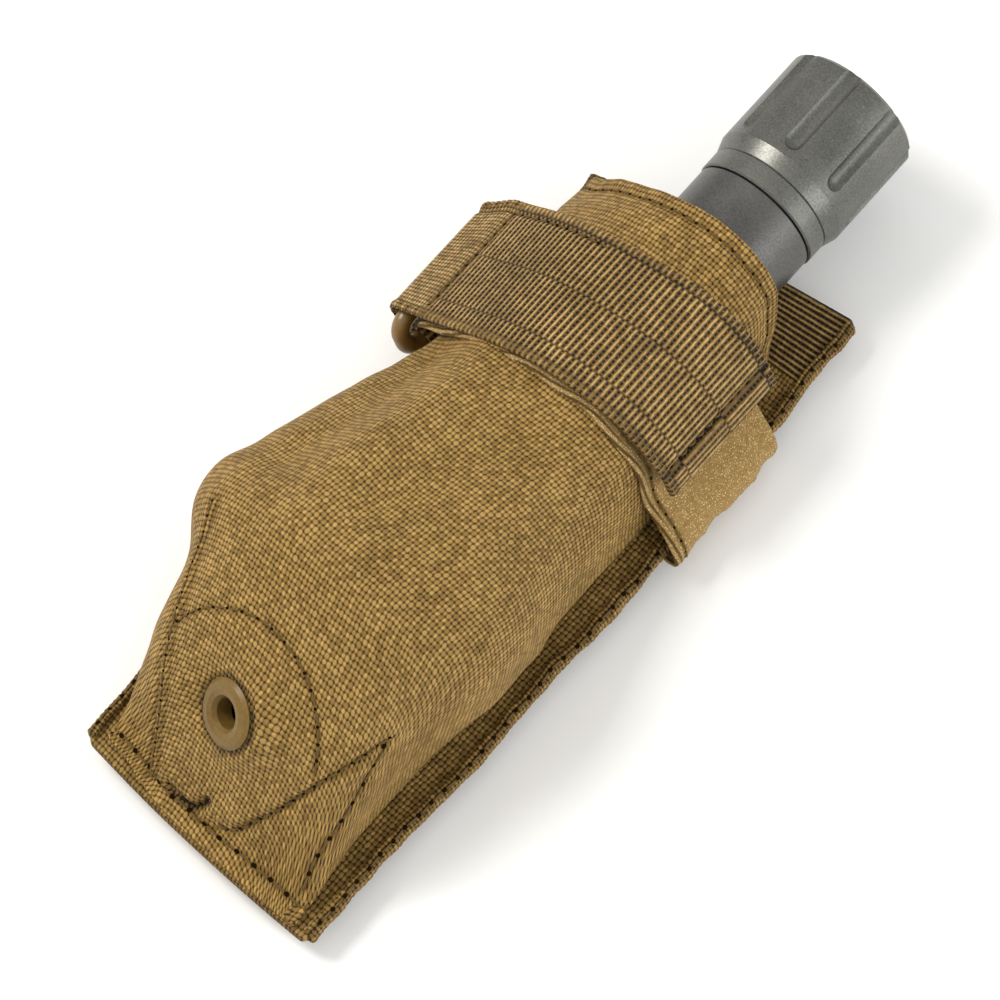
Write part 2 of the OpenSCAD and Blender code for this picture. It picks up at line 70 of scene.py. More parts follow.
# ------------------------------------------------------------------ node graphs
class Graph:
    """Short names for the nodes that the materials use."""

    def __init__(self, name):
        self.material = bpy.data.materials.new(name)
        self.material.use_nodes = True
        self.nodes = self.material.node_tree.nodes
        self.links = self.material.node_tree.links
        self.shader = self.nodes["Principled BSDF"]

    def put(self, socket, value):
        if isinstance(value, bpy.types.NodeSocket):
            self.links.new(value, socket)
        elif value is not None:
            socket.default_value = value

    def node(self, kind, **settings):
        made = self.nodes.new(kind)
        for key, value in settings.items():
            setattr(made, key, value)
        return made

    def math(self, operation, a, b=None, c=None, clamp=False):
        made = self.node("ShaderNodeMath", operation=operation, use_clamp=clamp)
        for socket, value in zip(made.inputs, (a, b, c)):
            self.put(socket, value)
        return made.outputs[0]

    def add(self, a, b, clamp=False):
        return self.math("ADD", a, b, clamp=clamp)

    def sub(self, a, b, clamp=False):
        return self.math("SUBTRACT", a, b, clamp=clamp)

    def mul(self, a, b):
        return self.math("MULTIPLY", a, b)

    def div(self, a, b):
        return self.math("DIVIDE", a, b)

    def power(self, a, b):
        return self.math("POWER", a, b)

    def sine(self, a):
        return self.math("SINE", a)

    def size(self, a):
        return self.math("ABSOLUTE", a)

    def vary(self, level, by, share):
        """A level made uneven by a value that swings about a half."""
        return self.add(level, self.mul(self.sub(by, 0.5), share))

    def floor(self, a):
        return self.math("FLOOR", a)

    def mix(self, share, a, b):
        """Colour a where share is 0, colour b where it is 1."""
        made = self.node("ShaderNodeMix", data_type="RGBA", blend_type="MIX")
        self.put(made.inputs[0], share)
        self.put(made.inputs[6], a)
        self.put(made.inputs[7], b)
        return made.outputs[2]

    def combine(self, x, y, z=0.0):
        made = self.node("ShaderNodeCombineXYZ")
        for socket, value in zip(made.inputs, (x, y, z)):
            self.put(socket, value)
        return made.outputs[0]

    def uv(self):
        """The cloth's own coordinates, in millimetres."""
        source = self.node("ShaderNodeUVMap", uv_map="cloth")
        split = self.node("ShaderNodeSeparateXYZ")
        self.links.new(source.outputs[0], split.inputs[0])
        return split.outputs[0], split.outputs[1]

    def place(self):
        return self.node("ShaderNodeTexCoord").outputs["Object"]

    def noise(self, vector, scale, detail=2.0, rough=0.5):
        made = self.node("ShaderNodeTexNoise")
        self.put(made.inputs["Vector"], vector)
        self.put(made.inputs["Scale"], scale)
        self.put(made.inputs["Detail"], detail)
        self.put(made.inputs["Roughness"], rough)
        return made.outputs[0]

    def cells(self, vector):
        made = self.node("ShaderNodeTexWhiteNoise", noise_dimensions="2D")
        self.put(made.inputs["Vector"], vector)
        return made.outputs[0]

    def ramp(self, value, low, high, to_low=0.0, to_high=1.0):
        made = self.node("ShaderNodeMapRange")
        for socket, number in zip(made.inputs, (value, low, high, to_low, to_high)):
            self.put(socket, number)
        return made.outputs[0]

    def attribute(self, name):
        return self.node("ShaderNodeAttribute", attribute_name=name).outputs["Fac"]

    def bump(self, height, distance, strength=1.0):
        made = self.node("ShaderNodeBump")
        self.put(made.inputs["Height"], height)
        made.inputs["Distance"].default_value = distance
        made.inputs["Strength"].default_value = strength
        return made.outputs[0]

    def finish(self, colour=None, normal=None, roughness=None, **inputs):
        for name, value in (("Base Color", colour), ("Normal", normal), ("Roughness", roughness)):
            if value is not None:
                self.put(self.shader.inputs[name], value)
        for name, value in inputs.items():
            self.shader.inputs[name.replace("_", " ")].default_value = value
        return self.material


def srgb(r, g, b):
    """Linear colour of 0 to 255 display values."""
    def linear(v):
        v = v / 255
        return v / 12.92 if v <= 0.04045 else ((v + 0.055) / 1.055) ** 2.4
    return (linear(r), linear(g), linear(b), 1.0)


# The darkest cloth colour is reached where painted shade falls: in the gaps between yarns and along seams.
CLOTH_DARK = srgb(16, 9, 0)
CLOTH_MID = srgb(117, 89, 37)
CLOTH_LIGHT = srgb(182, 147, 84)


def yarn_grid(g, u, v):
    """Plain weave at coordinates in yarns: its height, its painted shade (darker at the yarns' edges
    and in the gaps where four yarns meet), and 1 where the fat yarn along v is on top."""
    wave_u = g.sine(g.mul(u, math.pi))
    wave_v = g.sine(g.mul(v, math.pi))
    side = g.add(g.mul(wave_u, wave_v), 0.2)
    over = g.math("GREATER_THAN", side, 0.0)
    edge = g.size(side)
    # The gap where four yarns meet, painted dark as shade.
    gap = g.mul(g.sub(1.0, g.size(wave_u)), g.sub(1.0, g.size(wave_v)))
    gap = g.power(gap, 1.1)
    # Painted shade: each yarn is darker towards its edges, where its rounded sides turn from the light.
    tone_and_shade = g.sub(g.ramp(edge, 0.0, 0.32, 0.34, 0.86), g.mul(gap, 1.1))
    tone_and_shade = g.add(tone_and_shade, g.mul(g.sub(1.0, over), 0.1), clamp=True)
    height = g.sub(g.power(edge, 0.55), g.mul(gap, 0.5), clamp=True)
    return height, tone_and_shade, over


def woven_cloth(name, pitch=(0.88, 1.06), painted_shade_tint=(1.0, 1.0, 1.0)):
    """Coarse nylon: fat two-ply yarns, each float with its own random colour, fibres along it. Painted
    shade darkens the yarn edges, the gaps between yarns and the seams.
    """
    g = Graph(name)
    u, v = g.uv()
    drift = g.noise(g.combine(u, v), 0.035, 1.0)
    wobble_u = g.noise(g.combine(u, v), 0.55, 2.0)
    wobble_v = g.noise(g.combine(g.add(u, 60.0), v), 0.55, 2.0)
    yu = g.add(g.div(u, pitch[0]), g.mul(drift, 1.2))
    yu = g.add(yu, g.mul(wobble_u, 0.55))
    yv = g.add(g.div(v, pitch[1]), g.mul(wobble_v, 0.55))
    height, tone_and_shade, over = yarn_grid(g, yu, yv)
    shade = g.cells(g.combine(g.floor(yu), g.floor(yv)))
    fibre_a = g.noise(g.combine(g.mul(yu, 7.0), g.mul(yv, 1.3)), 1.0, 2.0)
    fibre_b = g.noise(g.combine(g.mul(yu, 1.3), g.mul(yv, 7.0)), 1.0, 2.0)
    fibre = g.add(g.mul(over, fibre_a), g.mul(g.sub(1.0, over), fibre_b))
    patch = g.noise(g.combine(u, v), 0.09, 3.0, 0.6)
    painted_shade = g.attribute("painted_shade")
    level = g.add(g.mul(tone_and_shade, 0.72), g.mul(fibre, 0.3))
    level = g.vary(level, shade, 0.22)
    level = g.vary(level, patch, 0.26)
    # Painted shade along seams, hems and hollows, from a mark on the mesh.
    level = g.sub(level, g.mul(painted_shade, 0.75), clamp=True)
    # A darker copy of the cloth is painted shade.
    mid = [c * t for c, t in zip(CLOTH_MID, painted_shade_tint)] + [1.0]
    light = [c * t for c, t in zip(CLOTH_LIGHT, painted_shade_tint)] + [1.0]
    dark = g.mix(g.ramp(level, 0.08, 0.54), CLOTH_DARK, mid)
    colour = g.mix(g.ramp(level, 0.62, 0.98), dark, light)
    relief = g.add(height, g.mul(fibre, 0.22))
    normal = g.bump(relief, 0.0003, 0.85)
    rough = g.ramp(fibre, 0.2, 0.9, 0.62, 0.86)
    return g.finish(colour, normal, rough, Sheen_Weight=0.05, Sheen_Roughness=0.4,
                    Sheen_Tint=(1, 0.8, 0.5, 1), Specular_IOR_Level=0.25)


def ribbed_webbing(name, pitch, lanes=0.0):
    """Woven webbing: ropes along u, one pitch apart, with beads in their valleys. The colour is painted
    shading: each rope light on its crest and dark in its valley, with painted highlight dots on the
    beads. With lanes, the ropes shift by half a pitch at lengthwise lines, which are painted darker.
    The mark "fine" turns them to a plain weave."""
    g = Graph(name)
    u, v = g.uv()
    wobble = g.noise(g.combine(u, v), 0.4, 2.0)
    phase = g.add(g.div(v, pitch), g.mul(wobble, 0.16))
    if lanes:
        lane = g.floor(g.div(u, lanes))
        phase = g.add(phase, g.mul(g.math("MODULO", lane, 2.0), 0.5))
        seam_at = g.math("PINGPONG", u, lanes / 2)
    rope = g.size(g.sine(g.mul(phase, math.pi)))
    cell = g.floor(g.add(phase, 0.5))
    bead_at = g.add(g.div(u, BEAD), g.cells(g.combine(cell, 3.0)))
    dots = g.sine(g.mul(bead_at, 2 * math.pi))
    valley = g.ramp(rope, 0.1, 0.7, 1.0, 0.0)
    # Painted highlights: bright dots on the beads in each valley.
    painted_glint = g.power(g.math("MAXIMUM", dots, 0.0), 3.0)
    # Painted shading: each rope lighter on its crest, dark in its valley.
    ropes_shading = g.math("MULTIPLY_ADD", g.power(rope, 1.5), 0.88, -0.12)
    ropes_shading = g.add(ropes_shading, g.mul(g.mul(valley, painted_glint), 0.6))
    height = g.add(g.mul(rope, 0.8), g.mul(g.mul(valley, dots), 0.3))
    if lanes:
        # Painted shade along the lengthwise lines.
        ropes_shading = g.mul(ropes_shading, g.ramp(seam_at, 0.0, 0.35, 0.45, 1.0))
    plain, plain_weave_shade, _ = yarn_grid(g, g.div(u, 0.9), g.div(v, 0.84))
    fine = g.attribute("fine")
    coarse = g.sub(1.0, fine)
    level = g.add(g.mul(plain_weave_shade, g.mul(fine, 0.82)), g.mul(ropes_shading, coarse))
    height = g.add(g.mul(plain, fine), g.mul(height, coarse))
    shade = g.cells(g.combine(g.floor(bead_at), cell))
    fibre = g.noise(g.combine(g.mul(u, 4.0), g.mul(v, 4.0)), 1.0, 3.0, 0.65)
    patch = g.noise(g.combine(u, v), 0.1, 2.0)
    painted_shade = g.attribute("painted_shade")
    tone_and_shade = g.add(g.mul(level, 0.82), g.mul(fibre, 0.24))
    tone_and_shade = g.vary(tone_and_shade, shade, 0.16)
    tone_and_shade = g.vary(tone_and_shade, patch, 0.22)
    # Painted shade along seams and at the selvedges, from a mark on the mesh.
    tone_and_shade = g.sub(tone_and_shade, g.mul(painted_shade, 0.8), clamp=True)
    low = g.mix(g.ramp(tone_and_shade, 0.1, 0.6), srgb(16, 9, 0), srgb(124, 95, 44))
    colour = g.mix(g.ramp(tone_and_shade, 0.62, 1.0), low, srgb(226, 192, 132))
    normal = g.bump(g.add(height, g.mul(fibre, 0.3)), 0.00034, 0.95)
    return g.finish(colour, normal, g.ramp(fibre, 0.2, 0.8, 0.55, 0.8), Sheen_Weight=0.04,
                    Sheen_Tint=(1, 0.8, 0.5, 1), Specular_IOR_Level=0.3)


def pile_cloth(name, mid, dark, light, grain, corded=False):
    """Loop or hook face: a felt of short threads. The mark "fine" is a corded edge's place."""
    g = Graph(name)
    u, v = g.uv()
    spot = g.combine(u, v)
    fuzz = g.noise(spot, grain, 4.0, 0.7)
    nap = g.noise(spot, grain * 0.22, 2.0)
    painted_shade = g.attribute("painted_shade")
    speck = g.ramp(g.noise(spot, grain * 0.9, 2.0, 0.5), 0.56, 0.72, 0.0, 0.45)
    level = g.add(g.mul(fuzz, 0.8), g.mul(nap, 0.3))
    level = g.add(level, speck)
    if corded:
        # Slanting stitches over the edge, with a needle gap between every two; the gaps are painted dark as
        # shade.
        slant = g.add(g.mul(u, 2 * math.pi / 1.28), g.mul(v, 0.6))
        cord = g.ramp(g.sine(slant), -0.8, 0.1)
        edge = g.attribute("fine")
        level = g.add(level, g.mul(edge, g.math("MULTIPLY_ADD", cord, 0.5, -0.45)))
        fuzz = g.add(fuzz, g.mul(edge, cord))
    # Painted shade along the seam, from a mark on the mesh.
    level = g.sub(level, g.mul(painted_shade, 0.7), clamp=True)
    shade = g.mix(g.ramp(level, 0.2, 0.55), srgb(*dark), srgb(*mid))
    colour = g.mix(g.ramp(level, 0.6, 0.85), shade, srgb(*light))
    normal = g.bump(fuzz, 0.0005, 0.9)
    return g.finish(colour, normal, 0.9, Sheen_Weight=0.12, Sheen_Roughness=0.5,
                    Sheen_Tint=(1, 0.82, 0.55, 1), Specular_IOR_Level=0.2)


def thread_material():
    g = Graph("sewing_thread")
    twist = g.noise(g.place(), 2600.0, 2.0)
    colour = g.mix(twist, srgb(72, 54, 24), srgb(112, 86, 42))
    return g.finish(colour, g.bump(twist, 0.0001), 0.65, Specular_IOR_Level=0.25)


# Needle holes: dark spots of painted shade where the thread dives into the cloth.
def hole_shade_material():
    g = Graph("needle_hole_shade")
    colour = g.mix(g.noise(g.place(), 900.0), srgb(16, 10, 3), srgb(36, 25, 9))
    return g.finish(colour, None, 0.95, Specular_IOR_Level=0.0)


def metal(name, dark, light, rough, grain=1500.0, wear_and_glint=0.0, metallic=1.0, relief=0.00004, brushed=None):
    """Metal with a fine grain, slow colour drift and bright flecks: handling scuffs that are also painted
    highlights.
    """
    g = Graph(name)
    spot = g.place()
    if brushed:
        stretch = g.node("ShaderNodeMapping")
        stretch.inputs["Scale"].default_value = brushed
        g.links.new(spot, stretch.inputs["Vector"])
        fine = g.noise(stretch.outputs[0], grain, 2.0)
    else:
        fine = g.noise(spot, grain, 2.0, 0.6)
    slow = g.noise(spot, 60.0, 3.0)
    share = g.add(g.mul(fine, 0.55), g.mul(slow, 0.45))
    colour = g.mix(g.ramp(share, 0.3, 0.7), srgb(*dark), srgb(*light))
    if wear_and_glint:
        # Bright flecks: handling scuffs, and painted highlights too.
        scuff_and_glint = g.ramp(g.noise(spot, 340.0, 5.0, 0.75), 0.63, 0.72, 0.0, wear_and_glint)
        colour = g.mix(scuff_and_glint, colour, srgb(190, 188, 182))
    smooth = g.ramp(slow, 0.3, 0.7, rough - 0.05, rough + 0.07)
    return g.finish(colour, g.bump(fine, relief, 0.6), smooth, Metallic=metallic)


def plastic(name, dark, light, rough, grain=900.0, relief=0.00005, **inputs):
    g = Graph(name)
    spot = g.place()
    fine = g.noise(spot, grain, 3.0, 0.6)
    slow = g.noise(spot, 90.0, 2.0)
    colour = g.mix(g.ramp(g.add(g.mul(fine, 0.5), g.mul(slow, 0.5)), 0.3, 0.7), srgb(*dark), srgb(*light))
    smooth = g.ramp(slow, 0.3, 0.7, rough - 0.06, rough + 0.06)
    return g.finish(colour, g.bump(fine, relief, 0.5), smooth, **inputs)


CLOTH = woven_cloth("coyote_cloth")
# The lining is the pouch cloth painted 20% darker, as shade: it lies under the pocket and in the gap beside
# the binding.
LINING = woven_cloth("lining_cloth_painted_shade", painted_shade_tint=(0.8, 0.8, 0.8))
# Pitches of the three webbings' ropes, of the beads between them, and of the strap's lengthwise lines.
RIB, WIDE_RIB, LONG_RIB, BEAD = 1.24, 1.35, 0.95, 0.9375
LANE, LANE_AT = 11.5, 5.0
WEBBING = ribbed_webbing("strap_webbing", RIB, LANE)
WIDE_WEBBING = ribbed_webbing("wide_webbing", WIDE_RIB)
LONG_WEBBING = ribbed_webbing("row_webbing", LONG_RIB)
TAPE = woven_cloth("binding_tape", (0.72, 0.8))
PILE = pile_cloth("loop_pile", (156, 124, 68), (86, 62, 22), (240, 212, 158), 3.4, corded=True)
HOOKS = pile_cloth("hook_tape", (86, 65, 30), (42, 31, 12), (120, 94, 52), 1.6)
THREAD = thread_material()
HOLE_SHADE = hole_shade_material()
PAINTED = plastic("painted_brass", (96, 74, 32), (122, 96, 48), 0.36, grain=1500.0, Specular_IOR_Level=0.22)
RING = plastic("ring_plastic", (104, 80, 40), (128, 100, 56), 0.3)
BARREL = metal("anodised_dark", (70, 69, 68), (106, 105, 102), 0.36, grain=2600.0, metallic=0.88)
# The cap's bright flecks are handling scuffs and painted highlights.
CAP = metal("anodised_light", (78, 78, 74), (122, 122, 116), 0.36, grain=2600.0, wear_and_glint=0.3, metallic=0.88)
BARE = metal("bare_aluminium", (176, 176, 174), (206, 206, 204), 0.28, brushed=(1, 14, 1))
BRASS = metal("turned_brass", (170, 132, 66), (206, 168, 92), 0.3, brushed=(1, 14, 1))
STEEL = metal("spring_steel", (150, 148, 140), (186, 184, 176), 0.25)
MIRROR = metal("bright_reflector", (218, 218, 222), (240, 240, 242), 0.08, relief=0.000005)
CELL = plastic("cell_wrap", (28, 52, 44), (44, 74, 62), 0.4)
BOARD = plastic("circuit_board", (18, 66, 34), (34, 92, 50), 0.45, grain=1600.0)
EMITTER = plastic("emitter", (214, 190, 70), (240, 220, 110), 0.35)
BLACK = plastic("black_plastic", (20, 20, 21), (34, 34, 35), 0.5)
RUBBER = plastic("black_rubber", (15, 15, 15), (30, 30, 30), 0.72, grain=2200.0, relief=0.00008)
GLASS = plastic("lens_glass", (226, 236, 240), (240, 246, 248), 0.06, relief=0.000002,
                Transmission_Weight=0.9, IOR=1.5)


# ------------------------------------------------------------------ meshes
def smooth(x):
    x = np.clip(x, 0, 1)
    return x * x * (3 - 2 * x)


def hump(x, centre, width):
    """1 at the centre, falling to 0 at width on each side."""
    return smooth(1 - np.abs(x - centre) / width)


def bell(x, width):
    """1 at 0, falling smoothly to 0.37 at width."""
    return np.exp(-(x / width) ** 2)


def lengths(points):
    """The distance gone at each point of a line."""
    return np.concatenate([[0], np.cumsum(np.linalg.norm(np.diff(points, axis=0), axis=1))])


def grid_lengths(points):
    """The distance gone at each point of a grid, down its rows and along its columns."""
    down = np.cumsum(np.linalg.norm(np.diff(points, axis=0), axis=2), axis=0)
    along_row = np.cumsum(np.linalg.norm(np.diff(points, axis=1), axis=2), axis=1)
    return (np.vstack([np.zeros((1, points.shape[1])), down]),
            np.hstack([np.zeros((points.shape[0], 1)), along_row]))


def ribs(at, pitch, lead=0.0):
    """Round ribs one pitch apart: 1 on each, 0 between two."""
    return np.abs(np.sin(math.pi * at / pitch + lead))


def heading(degrees):
    return np.array([math.cos(math.radians(degrees)), math.sin(math.radians(degrees))])


def none(at, *others):
    """A mark that is 0 everywhere."""
    return 0 * at


def unit(v):
    return v / np.maximum(np.linalg.norm(v, axis=-1, keepdims=True), 1e-12)


def grid_normals(points, flip=False):
    a = np.gradient(points, axis=0)
    b = np.gradient(points, axis=1)
    n = unit(np.cross(a, b))
    return -n if flip else n


def mesh_object(name, points, faces, material, uv=None, marks=None):
    """A mesh of millimetre points, with cloth coordinates and named values at its points."""
    mesh = bpy.data.meshes.new(name)
    mesh.from_pydata((np.asarray(points) * MM).tolist(), [], faces)
    mesh.materials.append(material)
    if uv is not None:
        layer = mesh.uv_layers.new(name="cloth")
        corner = np.zeros(len(mesh.loops), np.int32)
        mesh.loops.foreach_get("vertex_index", corner)
        layer.data.foreach_set("uv", np.asarray(uv, np.float32)[corner].ravel())
    for key, values in (marks or {}).items():
        layer = mesh.attributes.new(key, "FLOAT", "POINT")
        layer.data.foreach_set("value", np.asarray(values, np.float32).ravel())
    mesh.validate()
    mesh.shade_smooth()
    mesh.set_sharp_from_angle(angle=math.radians(60))
    made = bpy.data.objects.new(name, mesh)
    bpy.context.scene.collection.objects.link(made)
    return made


def join(made, body, replaced=None):
    """Puts a mesh on its body, in place of a CAD node if one is named."""
    if replaced:
        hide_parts(replaced)
    if body:
        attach(made, body)


def steps(length, pitch, start=0.0):
    """Distances about one pitch apart, with more of them next to both ends."""
    ends, first = np.array([0, 0.08, 0.22, 0.45]), 0.8
    count = max(2, int(round((length - 2 * first) / pitch)) + 1)
    between = np.linspace(first, length - first, count)
    return start + np.concatenate([ends, between, length - ends[::-1]])


class Sheet:
    """A layer of cloth on a grid: its middle surface, its thickness and the relief on its face.
    a and b number the grid's rows and columns, in millimetres or as the caller likes."""

    def __init__(self, name, middle, a, b, thick, material, relief=0.0, marks=None, flip=False,
                 uv_grid=None, hole=None):
        rows, cols = middle.shape[:2]
        normal = grid_normals(middle, flip)
        self.a, self.b = np.asarray(a, float), np.asarray(b, float)
        from_a, from_b = grid_lengths(middle)
        gap = np.minimum(np.minimum(from_a, from_a[-1:] - from_a),
                         np.minimum(from_b, from_b[:, -1:] - from_b))
        fall = np.sqrt(np.clip(1 - (1 - np.clip(gap / (thick / 2), 0, 1)) ** 2, 0.01, 1))
        half = thick / 2 * fall
        relief = np.broadcast_to(relief, (rows, cols))
        self.top = middle + normal * (half + relief * np.clip(fall, 0.3, 1))[..., None]
        self.bottom = middle - normal * half[..., None]
        self.normal = grid_normals(self.top, flip)
        n = rows * cols
        index = np.arange(n).reshape(rows, cols)
        quads = np.stack([index[:-1, :-1], index[1:, :-1], index[1:, 1:], index[:-1, 1:]], -1)
        quads = quads.reshape(-1, 4)
        if hole is not None:
            quads = self.cut(quads, hole)
        if flip:
            quads = quads[:, ::-1]
        # Every edge that only one face uses is closed down to the other side.
        ways = np.concatenate([quads[:, [k, (k + 1) % 4]] for k in range(4)])
        key = np.sort(ways, axis=1)
        _, first, count = np.unique(key, axis=0, return_index=True, return_counts=True)
        rim = ways[first[count == 1]]
        sides = np.stack([rim[:, 1], rim[:, 0], rim[:, 0] + n, rim[:, 1] + n], -1)
        faces = np.concatenate([quads, quads[:, ::-1] + n, sides])
        points = np.concatenate([self.top.reshape(-1, 3), self.bottom.reshape(-1, 3)])
        if uv_grid is None:
            uv_grid = (from_b, from_a)
        uv = np.concatenate([np.stack(uv_grid, -1).reshape(-1, 2)] * 2)
        values = {}
        for mark, grid in (marks or {}).items():
            flat = np.broadcast_to(grid, (rows, cols)).reshape(-1)
            # The painted shade mark goes on the face only; the underside gets none.
            values[mark] = np.concatenate([flat, 0 * flat if mark == "painted_shade" else flat])
        used = np.zeros(len(points), bool)
        used[faces.ravel()] = True
        order = np.cumsum(used) - 1
        self.object = mesh_object(name, points[used], order[faces].tolist(), material, uv[used],
                                  {m: v[used] for m, v in values.items()})

    def cut(self, quads, hole):
        """Opens a round hole, and brings the points next to it onto its edge."""
        centre, axis, radius = hole
        flat_top, flat_bottom = self.top.reshape(-1, 3), self.bottom.reshape(-1, 3)
        out = flat_top - centre
        out = out - (out @ axis)[:, None] * axis
        far = np.linalg.norm(out, axis=1)
        inside = far < radius
        quads = quads[~inside[quads].all(axis=1)]
        for face in (flat_top, flat_bottom):
            side = face - centre
            along_axis = (side @ axis)[:, None] * axis
            flat = side - along_axis
            size = np.maximum(np.linalg.norm(flat, axis=1, keepdims=True), 1e-6)
            face[inside] = (centre + along_axis + flat / size * radius)[inside]
        self.top = flat_top.reshape(self.top.shape)
        self.bottom = flat_bottom.reshape(self.bottom.shape)
        return quads

    def at(self, a, b):
        """Point on the face and its normal, at grid coordinates a and b."""
        i = np.clip(np.interp(a, self.a, np.arange(len(self.a))), 0, len(self.a) - 1.001)
        j = np.clip(np.interp(b, self.b, np.arange(len(self.b))), 0, len(self.b) - 1.001)
        i0, j0 = int(i), int(j)
        s, t = i - i0, j - j0
        out = []
        for grid in (self.top, self.normal):
            out.append((1 - s) * ((1 - t) * grid[i0, j0] + t * grid[i0, j0 + 1])
                       + s * ((1 - t) * grid[i0 + 1, j0] + t * grid[i0 + 1, j0 + 1]))
        return out[0], unit(out[1])


def along(points, step):
    """Points a fixed step apart along a line of points."""
    points = np.asarray(points, float)
    gone = lengths(points)
    count = max(2, int(round(gone[-1] / step)) + 1)
    at = np.linspace(0, gone[-1], count)
    return np.stack([np.interp(at, gone, points[:, k]) for k in range(points.shape[1])], -1)


def curve(points, count=60):
    """A smooth line through a few given points (Catmull-Rom)."""
    p = np.asarray(points, float)
    p = np.vstack([2 * p[0] - p[1], p, 2 * p[-1] - p[-2]])
    out = []
    spans = len(p) - 3
    for k in range(spans):
        t = np.linspace(0, 1, max(2, count // spans), endpoint=k == spans - 1)[:, None]
        a, b, c, d = p[k:k + 4]
        out.append(0.5 * (2 * b + (c - a) * t + (2 * a - 5 * b + 4 * c - d) * t ** 2
                          + (3 * b - a - 3 * c + d) * t ** 3))
    return np.vstack(out)


def tube_faces(faces, base, rings, sides):
    """Adds the faces of a closed tube whose points start at base."""
    for r in range(rings - 1):
        for s in range(sides):
            i, j = base + r * sides + s, base + r * sides + (s + 1) % sides
            faces.append((i, j, j + sides, i + sides))
    faces.append(tuple(base + s for s in range(sides))[::-1])
    faces.append(tuple(base + (rings - 1) * sides + s for s in range(sides)))


def round_points(place, across, up, sides):
    """Points round a place, on a circle or ellipse with these two radii."""
    turns = [2 * math.pi * s / sides for s in range(sides)]
    return [place + across * math.cos(turn) + up * math.sin(turn) for turn in turns]


THREAD_RINGS, THREAD_SIDES, HOLE_SIDES = 7, 6, 8
THREAD_RADIUS, THREAD_GAP = 0.23, 0.8
# Height over the cloth and share of the full radius, for each ring of a needle hole, a dark spot of painted
# shade.
HOLE_RINGS = ((-0.2, 0.6), (0.1, 1.0), (0.17, 0.7))


def sewn_line(name, sheet, route, body="pouch", pitch=3.2, hole=0.27):
    """Stitches along a route of (a, b) on a sheet: threads that dive into a hole at each end, each hole a
    dark spot of painted shade.
    """
    route = np.asarray(route, float)
    thirds = np.linspace(0, len(route) - 1, 3 * len(route) - 2)
    route = np.stack([np.interp(thirds, np.arange(len(route)), route[:, k]) for k in (0, 1)], -1)
    gone = lengths(np.array([sheet.at(a, b)[0] for a, b in route]))
    count = max(1, int(gone[-1] // pitch))
    pitch = gone[-1] / count
    points, faces, hole_points, hole_faces = [], [], [], []

    def frame_at(distance):
        """A place on the route, the cloth's normal there, the way on, and the way across."""
        p, n = sheet.at(np.interp(distance, gone, route[:, 0]), np.interp(distance, gone, route[:, 1]))
        ahead = distance + 0.05
        q, _ = sheet.at(np.interp(ahead, gone, route[:, 0]), np.interp(ahead, gone, route[:, 1]))
        way = unit(q - p)
        return p, n, way, unit(np.cross(way, n))

    for k in range(count):
        start, end = k * pitch + THREAD_GAP / 2, (k + 1) * pitch - THREAD_GAP / 2
        tube_faces(faces, len(points), THREAD_RINGS, THREAD_SIDES)
        for r in range(THREAD_RINGS):
            t = r / (THREAD_RINGS - 1)
            p, n, _, side = frame_at(start + (end - start) * t)
            lift = 0.3 * math.sin(math.pi * t) - 0.1
            fat = THREAD_RADIUS * (0.45 + 0.55 * math.sin(math.pi * min(1, max(0, t * 0.9 + 0.05))))
            points += round_points(p + n * lift, side * fat, n * fat, THREAD_SIDES)
        p, n, way, side = frame_at(k * pitch)
        tube_faces(hole_faces, len(hole_points), len(HOLE_RINGS), HOLE_SIDES)
        for height, wide in HOLE_RINGS:
            radius = hole * wide
            hole_points += round_points(p + n * height, way * radius * 1.2, side * radius, HOLE_SIDES)
    join(mesh_object(name, points, faces, THREAD), body)
    # Each hole is a dark spot of painted shade.
    join(mesh_object(name + "_hole_shades", hole_points, hole_faces, HOLE_SHADE), body)


def line_across(a, first, last, count):
    """A stitch route at one a of a sheet, from one b to another."""
    return [(a, b) for b in np.linspace(first, last, count)]


def line_along(b, first, last, count):
    """A stitch route at one b of a sheet, from one a to another."""
    return [(a, b) for a in np.linspace(first, last, count)]


def ripples(a, b, scale, seed, count=24):
    """Smooth random unevenness of a grid, about 1 high at most."""
    rng = np.random.default_rng(seed)
    out = np.zeros(np.broadcast(a, b).shape)
    for _ in range(count):
        angle, phase = rng.uniform(0, 2 * math.pi, 2)
        k = rng.uniform(0.5, 1.6) / scale
        out = out + np.sin(k * (a * math.cos(angle) + b * math.sin(angle)) * 2 * math.pi + phase)
    return out / math.sqrt(count) / 1.6


def to_lines(points, *lines):
    """Shortest distance from each grid point to any of some 3-D lines."""
    best = np.full(points.shape[:2], 1e9)
    for line in lines:
        for p, q in zip(line[:-1], line[1:]):
            way = q - p
            t = np.clip(((points - p) @ way) / max(way @ way, 1e-9), 0, 1)
            best = np.minimum(best, np.linalg.norm(points - p - t[..., None] * way, axis=-1))
    return best


def inside(x, y, outline_points):
    """Whether each (x, y) lies in a closed outline."""
    found = np.zeros(np.shape(x), bool)
    p = np.asarray(outline_points)
    for (x0, y0), (x1, y1) in zip(p, np.roll(p, -1, axis=0)):
        if y0 != y1:
            found ^= ((y0 > y) != (y1 > y)) & (x < (x1 - x0) * (y - y0) / (y1 - y0) + x0)
    return found


# ------------------------------------------------------------------ pocket surface
FRONT_Z = 6.4
PANEL_Y = 78.5
BASE_L, BASE_R = -27.2, 23.0
LIFT_Z = 7.15
WALL = 1.1
MOUTH = 142.5
STRAIGHT_FROM = 98
